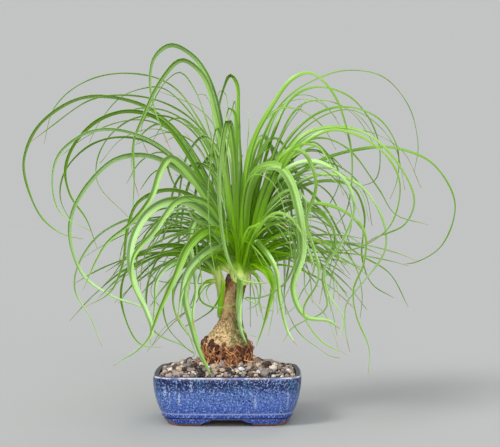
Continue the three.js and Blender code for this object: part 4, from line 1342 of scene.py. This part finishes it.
def makePot():
    rings = [potRing(width, z) for z, width in potForm["outer"]]
    rings += [potRing(width, z, inset) for z, width, inset in potForm["rim"]]
    rings += [potRing(potHalfWidth(z), z, potForm["wall"]) for z in potForm["innerHeights"]]
    floor = potForm["floor"]
    rings += [potRing(potHalfWidth(floor), floor + rise, inset, share)
              for inset, rise, share in potForm["floorRings"]]
    footWidth = potForm["outer"][0][1]
    under = [potRing(footWidth, 0.0, 0.0, share) for share in potForm["underShares"]]
    bm = bmesh.new()
    layRings(bm, [pole(rings[0], 0.0), *under, *rings, pole(rings[0], floor)])
    bmesh.ops.recalc_face_normals(bm, faces=bm.faces)
    blank = meshObject("pot_blank", bm)
    cutters = makeCutters()
    cut = blank.modifiers.new("feet", "BOOLEAN")
    cut.object = cutters
    cut.operation = "DIFFERENCE"
    cut.solver = "EXACT"
    cut.use_self = True
    ease = blank.modifiers.new("edges", "BEVEL")
    ease.width = potForm["edges"]["width"] / 1000.0
    ease.segments = potForm["edges"]["segments"]
    ease.limit_method = "ANGLE"
    ease.angle_limit = math.radians(potForm["edges"]["from"])
    shaped = blank.evaluated_get(bpy.context.evaluated_depsgraph_get()).to_mesh()
    bm = bmesh.new()
    bm.from_mesh(shaped)
    for used in (blank, cutters):
        bpy.data.objects.remove(used)
    finishPiece("pot_body", bm, makeGlaze(), "pot", potForm["sharpFrom"])


makePot()
print("pot")


# the soil and its stones in mm
soilForm = {
    "edgeHeight": 50.0,
    "rise": 11.5,
    "halfAcross": 71.0,
    "halfAlong": 53.0,
    "swell": 0.6,
    # rate and start of the swell, across and along
    "waves": ((0.31, 1.1), (0.37, 0.4)),
    # lumps of the surface: height, and how many to a metre
    "lumps": ((1.1, 160.0), (0.6, 520.0)),
    "crownX": 0.6,
    "holeRadius": 25.4,
    "holeFloor": 21.0,
    # height and share of the hole's size, from its floor up
    "holeRings": ((21, 0.34), (38, 0.76), (49, 0.97)),
    "shares": (0.0, 0.12, 0.25, 0.38, 0.52, 0.66, 0.8, 0.9, 1.0),
    "inset": 5.6,
    "wallHeights": (38.0, 28.0, 15.5),
    "widthAt": 12.8,
    "bottom": 14.5,
    "bottomInset": 8.6,
    "bottomShares": (1.0, 0.5),
    "depths": (-52, 52),
    "sharpFrom": 80.0,
}
stoneForm = {
    # how many stones, least and most radius in mm, icosphere level
    "sizes": ((34, 3.4, 4.8, 2), (190, 2.3, 3.4, 2), (260, 1.5, 2.3, 1), (500, 0.8, 1.5, 1)),
    # stones that stand out in the photograph: pixel across and down, radius in mm, tone
    "marked": ((273, 370, 4.8, 0.62), (222, 366, 4.4, 0.05), (258, 373, 2.4, 0.97), (241, 371, 3.6, 0.96),
               (174, 366, 3.0, 0.97), (171, 371, 3.2, 0.62), (187, 357, 2.6, 0.98), (277, 363, 2.4, 0.36),
               (264, 362, 2.4, 0.25), (191, 371, 3.8, 0.02), (199, 365, 3.0, 0.24), (231, 364, 3.0, 0.22),
               (249, 369, 3.2, 0.1), (226, 375, 3.0, 0.08), (286, 369, 2.6, 0.05), (215, 374, 2.8, 0.4)),
    "markedLevel": 2,
    "tilt": 0.5,
    # least and most stretch on the stone's own axes, and how much of its radius it stands out
    "stretch": ((0.85, 1.15), (0.65, 0.95), (0.6, 0.85)),
    "stand": (0.25, 0.55),
    "roughness": 0.55,
    "roughScale": 1300.0,
    # moves the noise from stone to stone, by tone and by radius
    "roughMove": (90, 7),
    "sharpFrom": 0.0,
    # tries for each stone, the rounding of the pot's corners, room for the crown, how close stones may lie
    "tries": 12,
    "corner": 16,
    "crownRoom": 25,
    "crownOverlap": 0.4,
    "near": 8,
    "closeness": 0.76,
}


def soilHeight(x, y):
    form = soilForm
    towardsWall = math.sqrt((x / form["halfAcross"]) ** 4 + (y / form["halfAlong"]) ** 4)
    mound = form["rise"] * max(1 - towardsWall, 0.0)
    (rateX, startX), (rateY, startY) = form["waves"]
    swell = form["swell"] * math.sin(x * rateX + startX) * math.cos(y * rateY + startY)
    return form["edgeHeight"] + mound + swell


def onSoil(across, down):
    # where the line of sight through a pixel of the photograph meets the soil
    for depth in range(*soilForm["depths"]):
        spot = photoPoint(across, down, depth) * 1000.0
        if spot.z <= soilHeight(spot.x, spot.y):
            break
    return spot.x, spot.y


soilLook = {
    "grains": (620.0, 4.0, 0.7),
    # dark colours: partly the soil's own, partly painted shade in the gaps between the stones
    "colours": [(0.3, tint(16, 12, 9)), (0.5, tint(34, 26, 20)), (0.62, tint(70, 56, 44)),
                (0.76, tint(120, 102, 86))],
    "roughness": 0.95,
    "relief": (520.0, 0.9),
}


def makeSoilMaterial():
    material, tree, shader = openMaterial("soil_bed")
    place = ownPlace(tree)
    colour = ramp(tree, cloud(tree, place, *soilLook["grains"]), soilLook["colours"])
    finishShader(tree, shader, soilLook, colour, place)
    return material


def makeSoilBed():
    # a skin over the hole for the crown, the mound, the wall and the bottom
    form = soilForm
    edge = potRing(potHalfWidth(form["edgeHeight"]), 0.0, form["inset"])
    crown = Vector((form["crownX"] / 1000.0, 0.0, 0.0))
    hole = [crown + (spot - crown).normalized() * form["holeRadius"] / 1000.0 for spot in edge]
    rings = [pole(edge, form["holeFloor"], form["crownX"])]
    rings += [[crown + (spot - crown) * share + Vector((0, 0, z / 1000.0)) for spot in hole]
              for z, share in form["holeRings"]]
    for share in form["shares"]:
        ring = []
        for near, far in zip(hole, edge):
            spot = near.lerp(far, share)
            z = soilHeight(spot.x * 1000.0, spot.y * 1000.0)
            if 0.0 < share < 1.0:
                z += sum(height * noise.noise(spot * scale) for height, scale in form["lumps"])
            ring.append(Vector((spot.x, spot.y, z / 1000.0)))
        rings.append(ring)
    rings += [potRing(potHalfWidth(z), z, form["inset"]) for z in form["wallHeights"]]
    bottomWidth = potHalfWidth(form["widthAt"])
    rings += [potRing(bottomWidth, form["bottom"], form["bottomInset"], share)
              for share in form["bottomShares"]]
    rings.append(pole(edge, form["bottom"]))
    bm = bmesh.new()
    layRings(bm, rings)
    finishPiece("soil_bed", bm, makeSoilMaterial(), "soil", form["sharpFrom"])


stoneLook = {
    # kinds of stone by their tone
    "kinds": [(0.0, tint(170, 150, 144)), (0.2, tint(136, 124, 121)), (0.36, tint(194, 172, 147)),
              (0.45, tint(92, 76, 66)), (0.58, tint(236, 226, 208)), (0.65, tint(58, 36, 23)),
              (0.77, tint(30, 28, 30)), (0.88, tint(140, 100, 69)), (0.94, tint(226, 222, 220))],
    "grain": (900.0, 4.0, 0.75),
    "grainAt": (0.48, 0.64, 0.0, 0.6),
    "grainDark": tint(58, 46, 42),
    "pale": (1300.0, 2.0, 0.6),
    "paleAt": (0.56, 0.66, 0.0, 0.35),
    "paleGrain": tint(214, 202, 190),
    "roughness": 0.82,
    "relief": (700.0, 0.6),
}


def makeStoneMaterial():
    look = stoneLook
    material, tree, shader = openMaterial("stones")
    place = ownPlace(tree)
    colour = ramp(tree, readFloats(tree, "tone")[0], look["kinds"], steps=True)
    grain = band(tree, cloud(tree, place, *look["grain"]), *look["grainAt"])
    colour = coat(tree, colour, look["grainDark"], grain)
    pale = band(tree, cloud(tree, place, *look["pale"]), *look["paleAt"])
    finishShader(tree, shader, look, coat(tree, colour, look["paleGrain"], pale), place)
    return material


def makeGravel():
    form = stoneForm
    bm = bmesh.new()
    tone = bm.verts.layers.float.new("tone")
    draw = seededDraws("gravel")
    halfX = potHalfWidth(soilForm["edgeHeight"]) - soilForm["inset"]
    halfY = halfX - potForm["narrower"]
    taken = []

    def setStone(x, y, radius, level, kind):
        taken.append((x, y, radius))
        turned = Matrix.Rotation(draw(0, math.tau), 4, "Z")
        turned = turned @ Matrix.Rotation(draw(-form["tilt"], form["tilt"]), 4, "X")
        shaped = Matrix.Diagonal((*(draw(least, most) for least, most in form["stretch"]), 1.0))
        spot = Vector((x, y, soilHeight(x, y) + radius * draw(*form["stand"]))) / 1000.0
        made = bmesh.ops.create_icosphere(
            bm, subdivisions=level, radius=radius / 1000.0,
            matrix=Matrix.Translation(spot) @ turned @ shaped)["verts"]
        byTone, byRadius = form["roughMove"]
        apart = Vector((kind * byTone, radius * byRadius, 0))
        for vert in made:
            rough = noise.noise(vert.co * (form["roughScale"] / radius) + apart)
            vert.co = spot + (vert.co - spot) * (1.0 + form["roughness"] * rough)
            vert[tone] = kind

    def isFree(x, y, radius):
        # inside the rounded corners, off the crown and off the other stones
        corner = form["corner"]
        pastX, pastY = max(abs(x) - (halfX - corner), 0.0), max(abs(y) - (halfY - corner), 0.0)
        if math.hypot(pastX, pastY) > corner - radius:
            return False
        if math.hypot(x - soilForm["crownX"], y) < form["crownRoom"] + radius * form["crownOverlap"]:
            return False
        return not any(abs(x - u) < form["near"]
                       and math.hypot(x - u, y - v) < (radius + r) * form["closeness"] for u, v, r in taken)

    for across, down, radius, kind in form["marked"]:
        x, y = onSoil(across, down)
        setStone(x, y, radius, form["markedLevel"], kind)
    for count, least, most, level in form["sizes"]:
        placed = 0
        tries = 0
        while placed < count and tries < count * form["tries"]:
            tries += 1
            radius = draw(least, most)
            x = draw(-1, 1) * (halfX - radius)
            y = draw(-1, 1) * (halfY - radius)
            if isFree(x, y, radius):
                placed += 1
                setStone(x, y, radius, level, draw(0.0, 1.0))
    finishPiece("gravel", bm, makeStoneMaterial(), None, form["sharpFrom"])


makeSoilBed()
makeGravel()
print("soil and gravel")


# the trunk in mm and radians unless a note says otherwise
trunkForm = {
    # height, centre x and radius, from the buried root crown to the neck
    "profile": ((24, 0.5, 9), (38, 1, 17), (52, 1.2, 21), (62, 0.6, 22.6), (70, -0.8, 25.0),
                (79, -1.4, 25.2), (88, -0.6, 21.2), (95, 0.8, 16.6), (102, 2, 13.8), (112, 3.6, 11.6),
                (125, 5, 10.8), (136, 7.4, 10.6), (143, 8.9, 9.8), (147, 10.4, 8.6)),
    "around": 132,
    "rows": 190,
    # heights between which cork sets in and ends, and the neck's scars set in
    "corkFrom": (66, 74),
    "corkTo": (118, 96),
    "neckFrom": (106, 120),
    "lobesBelow": 100,
    # lobes round the trunk: how many, and their share of its radius
    "lobes": ((3, 0.035), (7, 0.02)),
    "lobeTwist": 0.05,
    # blocks of cork, fine ones and leaf scars: scale round, scale up, and how much they sway
    "blocks": ((0.44, 0.15, 0.7), (0.8, 0.3, 1.0), (0.26, 0.5, 0.6)),
    "swayScale": 0.13,
    "blockEdge": 4.0,
    "corkMix": (0.75, 0.25),
    "neckMix": (0.6, 0.4),
    "lumps": ((0.11, 1.2), (0.35, 0.45)),
    "inset": 0.6,
    "ridge": 0.9,
    "smoothRidge": 0.35,
    "neckRidge": 0.7,
    "sharpFrom": 60.0,
}
knobForm = {
    "count": 150,
    "spacing": 137.508,
    "stray": 0.1,
    "radius": (1.8, 4.2),
    "height": (60, 81),
    "lowerOnRight": 5,
    "heightCurve": 1.3,
    "buried": (0.15, 0.5),
    "tilt": 0.7,
    "flat": 0.85,
    "wide": (0.7, 0.95),
    "tall": (1.0, 1.5),
    "level": 3,
    "roughScale": 330.0,
    "roughness": 0.3,
}
rootletForm = {
    "count": 190,
    "spacing": 137.508,
    "stray": 8,
    "top": (66, 84),
    "fall": (7, 20),
    "sway": 0.75,
    "bulge": (0.6, 3.4),
    "bulgeRate": 1.15,
    "rough": (-0.7, 0.9),
    "wander": 0.05,
    "radius": (0.22, 0.5),
    "thickEvery": 4,
    "thickRadius": (0.6, 1.05),
    "thickTone": (0.5, 1.0),
    "steps": 14,
}
# roots that run over the gravel, away from the crown
runnerForm = {
    "count": 26,
    "stray": 7,
    "from": 24,
    "length": (8, 26),
    "long": 20,
    "longNarrower": 0.9,
    "bend": 0.5,
    "within": (66, 49),
    "arch": 5.5,
    "lift": 2.2,
    "wander": 0.8,
    "dive": 4.0,
    "radius": (0.35, 0.9),
    "tone": (0.35, 1.0),
    "steps": 16,
}
scarForm = {
    "place": (2.4, 1.5, 144),
    "radius": 6.4,
    "level": 4,
    "shape": (0.9, 1.0, 1.7, 1.0),
    "fibreScale": (900, 900, 110),
    "base": 0.97,
    "fibreHeight": 0.12,
}
# torn fibres of old leaf bases that stand up round the scar
fibreForm = {
    "count": 34,
    "spacing": 137.5,
    "height": (128, 150),
    "out": 0.2,
    "rise": (6, 13),
    # share of the rise, flare outwards and lean, with the tip's drawn after them
    "bends": ((0, -0.4, 0), (0.4, 0.5, 0.03), (0.75, 0.9, 0.08)),
    "tipFlare": (0.9, 2.4),
    "tipLean": (-0.1, 0.2),
    "radius": (0.5, 1.1),
    "tone": (0.0, 0.3),
    "steps": 8,
}
tubeForm = {"sides": 6, "taper": 0.55, "spans": 5}
# kinds of surface that the bark material tells apart
barkKinds = {"skin": 0.0, "knob": 0.4, "rootlet": 0.75, "scar": 1.0}


def crownPoint(z, out, turn, centreX):
    return Vector((centreX + out * math.cos(turn), out * math.sin(turn), z)) / 1000.0


def corkBlock(flat, sway, around, up, swayed):
    # 1 on a block of cork, 0 in the grooves between blocks
    place = Vector((flat.x * around, flat.y * around, flat.z * up)) + sway * swayed
    nearest, second = noise.voronoi(place)[0][:2]
    return min((second - nearest) * trunkForm["blockEdge"], 1.0)


def skinSpot(z, radius, turn):
    # the skin's distance from the trunk's middle, and how high its cork or scar stands
    form = trunkForm
    corky = shareOf(z, *form["corkFrom"]) * shareOf(z, *form["corkTo"])
    upper = shareOf(z, *form["neckFrom"])
    lobes = 0.0
    if z < form["lobesBelow"]:
        (few, wide), (many, narrow) = form["lobes"]
        lobes = wide * math.sin(few * turn + z * form["lobeTwist"]) + narrow * math.sin(many * turn)
    flat = Vector((math.cos(turn) * radius, math.sin(turn) * radius, z))
    swayAt = flat * form["swayScale"]
    sway = Vector((noise.noise(swayAt), noise.noise(swayAt + Vector((9, 0, 0))), 0.0))
    tall, fine, scars = [corkBlock(flat, sway, *scales) for scales in form["blocks"]]
    lumps = sum(noise.noise(flat * scale) * height for scale, height in form["lumps"])
    tallShare, fineShare = form["corkMix"]
    scarShare, neckFineShare = form["neckMix"]
    block = (1 - upper) * (tallShare * tall + fineShare * fine)
    block += upper * (scarShare * scars + neckFineShare * fine)
    smooth = form["smoothRidge"]
    ridge = block * (smooth + (1 - smooth) * max(corky, upper * form["neckRidge"]))
    out = radius * (1 + lobes) - form["inset"] + lumps * (0.5 + 0.5 * corky) + form["ridge"] * ridge
    return out, ridge


def layTrunkSkin(bm, layers):
    profile = curveThrough([Vector((z, x, r)) for z, x, r in trunkForm["profile"]])
    turns = anglesRound(trunkForm["around"])
    rings = []
    ridges = []
    for (z, centreX, radius), share in evenStations(profile, trunkForm["rows"]):
        spots = [skinSpot(z, radius, turn) for turn in turns]
        rings.append([crownPoint(z, out, turn, centreX) for (out, ridge), turn in zip(spots, turns)])
        ridges.append([ridge for out, ridge in spots])
    flat = [0.0] * trunkForm["around"]
    ridges = [flat, *ridges, flat]
    layRings(bm, closeEnds(rings), (
        (layers["ridge"], lambda place, row, column: ridges[row][column]),
        (layers["kind"], lambda place, row, column: barkKinds["skin"])))


def layKnobs(bm, layers, draw):
    form = knobForm
    for i in range(form["count"]):
        turn = math.radians(form["spacing"] * i) + draw(-form["stray"], form["stray"])
        radius = draw(*form["radius"])
        low, high = form["height"]
        room = high - low - form["lowerOnRight"] * math.cos(turn)
        z = low + room * draw(0.0, 1.0) ** form["heightCurve"]
        centreX, crown = profileAt(trunkForm["profile"], z)
        spot = crownPoint(z, crown - radius * draw(*form["buried"]) + 1.0, turn, centreX)
        turned = Matrix.Rotation(turn, 4, "Z") @ Matrix.Rotation(draw(-form["tilt"], form["tilt"]), 4, "X")
        shaped = Matrix.Diagonal((form["flat"], draw(*form["wide"]), draw(*form["tall"]), 1.0))
        made = bmesh.ops.create_icosphere(
            bm, subdivisions=form["level"], radius=radius / 1000.0,
            matrix=Matrix.Translation(spot) @ (turned @ shaped))["verts"]
        tone = draw(0.0, 1.0)
        for vert in made:
            rough = noise.fractal(vert.co * form["roughScale"], 1.0, 2.0, 3)
            vert.co = spot + (vert.co - spot) * (1.0 + form["roughness"] * rough)
            vert[layers["kind"]] = barkKinds["knob"]
            vert[layers["tone"]] = tone
            vert[layers["ridge"]] = 0.5 + 0.5 * rough


def layTube(bm, layers, points, radius, steps, tone):
    def radiusAt(share):
        return radius * (1 - tubeForm["taper"] * share) / 1000.0

    layRings(bm, tubeRings(points, radiusAt, tubeForm["sides"], steps), (
        (layers["kind"], lambda place, row, column: barkKinds["rootlet"]),
        (layers["tone"], lambda place, row, column: tone),
        (layers["ridge"], lambda place, row, column: 0.5)))


def layRootlets(bm, layers, draw):
    # woven over the knobs, falling into the grit
    form = rootletForm
    for i in range(form["count"]):
        turn = math.radians(form["spacing"] * i + draw(-form["stray"], form["stray"]))
        top = draw(*form["top"])
        foot = top - draw(*form["fall"])
        sway = draw(-form["sway"], form["sway"])
        bulge = draw(*form["bulge"])
        points = []
        for k in range(tubeForm["spans"] + 1):
            t = k / tubeForm["spans"]
            z = top + (foot - top) * t
            centreX, crown = profileAt(trunkForm["profile"], z)
            out = crown + bulge * math.sin(math.pi * min(t * form["bulgeRate"], 1.0)) + draw(*form["rough"])
            angle = turn + sway * t + draw(-form["wander"], form["wander"])
            points.append(crownPoint(z, out, angle, centreX))
        thick = i % form["thickEvery"] == 0
        radius = draw(*form["thickRadius" if thick else "radius"])
        tone = draw(*form["thickTone"]) if thick else draw(0.0, 1.0)
        layTube(bm, layers, points, radius, form["steps"], tone)


def layRunners(bm, layers, draw):
    form = runnerForm
    farX, farY = form["within"]
    for i in range(form["count"]):
        turn = math.radians(360 / form["count"] * i + draw(-form["stray"], form["stray"]))
        length = draw(*form["length"])
        bend = draw(-form["bend"], form["bend"])
        points = []
        for k in range(tubeForm["spans"] + 1):
            t = k / tubeForm["spans"]
            angle = turn + bend * t
            out = form["from"] + length * t
            x = out * math.cos(angle)
            y = out * math.sin(angle) * (form["longNarrower"] if length > form["long"] else 1.0)
            x, y = max(-farX, min(farX, x)), max(-farY, min(farY, y))
            z = soilHeight(x, y) + form["arch"] * (1 - t) ** 2 + form["lift"]
            z += draw(-form["wander"], form["wander"])
            z -= form["dive"] * t ** 3
            points.append(Vector((x, y, z)) / 1000.0)
        layTube(bm, layers, points, draw(*form["radius"]), form["steps"], draw(*form["tone"]))


def layScar(bm, layers):
    form = scarForm
    spot = Vector(form["place"]) / 1000.0
    made = bmesh.ops.create_icosphere(
        bm, subdivisions=form["level"], radius=form["radius"] / 1000.0,
        matrix=Matrix.Translation(spot) @ Matrix.Diagonal(form["shape"]))["verts"]
    for vert in made:
        fibre = noise.noise(Vector([value * scale for value, scale in zip(vert.co, form["fibreScale"])]))
        vert.co = spot + (vert.co - spot) * (form["base"] + form["fibreHeight"] * fibre)
        vert[layers["kind"]] = barkKinds["scar"]
        vert[layers["ridge"]] = 0.5 + fibre
        vert[layers["tone"]] = 0.5


def layFibres(bm, layers, draw):
    form = fibreForm
    for i in range(form["count"]):
        turn = math.radians(form["spacing"] * i)
        z = draw(*form["height"])
        centreX, crown = profileAt(trunkForm["profile"], z)
        out = crown + form["out"]
        rise = draw(*form["rise"])
        bends = (*form["bends"], (1.0, draw(*form["tipFlare"]), draw(*form["tipLean"])))
        points = [crownPoint(z + rise * t, out + flare, turn + lean, centreX) for t, flare, lean in bends]
        layTube(bm, layers, points, draw(*form["radius"]), form["steps"], draw(*form["tone"]))


barkLook = {
    "ridge": tint(228, 196, 147),
    "cork": tint(176, 144, 97),
    "crevice": tint(64, 49, 22),
    "neck": tint(210, 177, 127),
    "neckRed": tint(184, 144, 102),
    "neckDark": tint(84, 60, 38),
    # olive green: partly moss, partly painted shade and painted green light reflected from the leaves
    "mossAndShade": tint(60, 78, 6),
    "root": tint(112, 58, 38),
    "rootDark": tint(40, 19, 12),
    "rootTan": tint(180, 126, 84),
    "rootlet": tint(230, 164, 106),
    "rootletDark": tint(138, 80, 46),
    "scar": tint(62, 42, 30),
    "scarPale": tint(126, 96, 66),
    "roughness": 0.8,
    "relief": (0.7, 0.7),
    # scale, detail and roughness of the noises, after a stretch along the trunk's axes
    "lumps": (0.16, 4.0, 0.6),
    "fineStretch": (1.0, 1.0, 0.4),
    "fine": (0.8, 3.0, 0.65),
    "streakStretch": (0.5, 0.5, 1.5),
    "streaks": (0.5, 4.0, 0.65),
    # where one colour gives way to another: heights in mm, or levels of noise and of ridge
    "heightSway": 22.0,
    "grooveBreak": 0.7,
    "corkAt": (0.12, 0.42),
    "ridgeAt": (0.5, 0.85),
    "neckAt": (0.4, 0.62),
    "neckGrooves": (0.35, 0.05, 0.0, 0.6),
    "neckTop": (132.0, 152.0, 0.0, 0.7),
    "neckFoot": (102.0, 122.0),
    # patches on the trunk's right side: partly moss, partly painted shade on the side away from the key lamp
    "mossAndShadePatches": (0.36, 0.6, 0.35, 1.0),
    "mossAndShadeRight": (-2.0, 9.0),
    "mossAndShadeShare": 0.85,
    "rootFrom": (82.0, 74.0),
    "knobAt": (0.34, 0.66),
    "tanTones": (0.62, 0.9),
    "tanAt": (0.4, 0.6),
    "scarAt": (0.45, 0.95),
}


def makeBark():
    look = barkLook
    material, tree, shader = openMaterial("bark")
    place = inMillimetres(tree, ownPlace(tree))
    x, y, z = addNode(tree, "ShaderNodeSeparateXYZ", {0: place}).outputs
    ridge, kind, tone = readFloats(tree, "ridge", "kind", "tone")
    lumps = cloud(tree, place, *look["lumps"])
    fine = cloud(tree, stretch(tree, place, look["fineStretch"]), *look["fine"])
    height = plus(tree, z, swing(tree, lumps, look["heightSway"]))
    grooves = plus(tree, ridge, swing(tree, fine, look["grooveBreak"]))
    cork = coat(tree, look["crevice"], look["cork"], band(tree, grooves, *look["corkAt"]))
    cork = coat(tree, cork, look["ridge"], band(tree, grooves, *look["ridgeAt"]))
    streaks = cloud(tree, stretch(tree, place, look["streakStretch"]), *look["streaks"])
    neck = coat(tree, look["neckRed"], look["neck"], band(tree, streaks, *look["neckAt"]))
    neck = coat(tree, neck, look["neckDark"], band(tree, grooves, *look["neckGrooves"]))
    neck = coat(tree, neck, look["neckDark"], band(tree, height, *look["neckTop"]))
    skin = coat(tree, cork, neck, band(tree, height, *look["neckFoot"]))
    # partly moss, partly painted shade and painted green reflected light, on the trunk's right side
    mossAndShadeMask = times(tree, band(tree, lumps, *look["mossAndShadePatches"]), band(tree, x, *look["mossAndShadeRight"]))
    skin = coat(tree, skin, look["mossAndShade"], mossAndShadeMask, look["mossAndShadeShare"])
    skin = coat(tree, skin, look["rootDark"], band(tree, height, *look["rootFrom"]))
    knob = coat(tree, look["rootDark"], look["root"], band(tree, fine, *look["knobAt"]))
    tan = times(tree, band(tree, tone, *look["tanTones"]), band(tree, fine, *look["tanAt"]))
    knob = coat(tree, knob, look["rootTan"], tan)
    rootlet = coat(tree, look["rootletDark"], look["rootlet"], tone)
    scar = coat(tree, look["scar"], look["scarPale"], band(tree, ridge, *look["scarAt"]))
    colour = skin
    for level, surface in ((0.2, knob), (0.6, rootlet), (0.9, scar)):
        colour = coat(tree, colour, surface, calc(tree, "GREATER_THAN", kind, level))
    finishShader(tree, shader, look, colour, place)
    return material


def makeTrunk():
    bm = bmesh.new()
    layers = {name: bm.verts.layers.float.new(name) for name in ("ridge", "kind", "tone")}
    draw = seededDraws("trunk")
    layTrunkSkin(bm, layers)
    layKnobs(bm, layers, draw)
    layRootlets(bm, layers, draw)
    layRunners(bm, layers, draw)
    layScar(bm, layers)
    layFibres(bm, layers, draw)
    finishPiece("trunk_skin", bm, makeBark(), "trunk", trunkForm["sharpFrom"])


screenLook = {
    "grain": 240.0,
    "colours": [(0.35, tint(26, 28, 26)), (0.65, tint(40, 43, 40))],
    "roughness": 0.6,
    "relief": (900.0, 0.2),
}


def dressScreens():
    material, tree, shader = openMaterial("drain_screen")
    place = ownPlace(tree)
    colour = ramp(tree, cloud(tree, place, screenLook["grain"]), screenLook["colours"])
    finishShader(tree, shader, screenLook, colour, place)
    for side in ("left", "right"):
        for seat in bpy.data.objects["drain_screen_" + side].material_slots:
            seat.material = material


makeTrunk()
dressScreens()
print("trunk and screens")
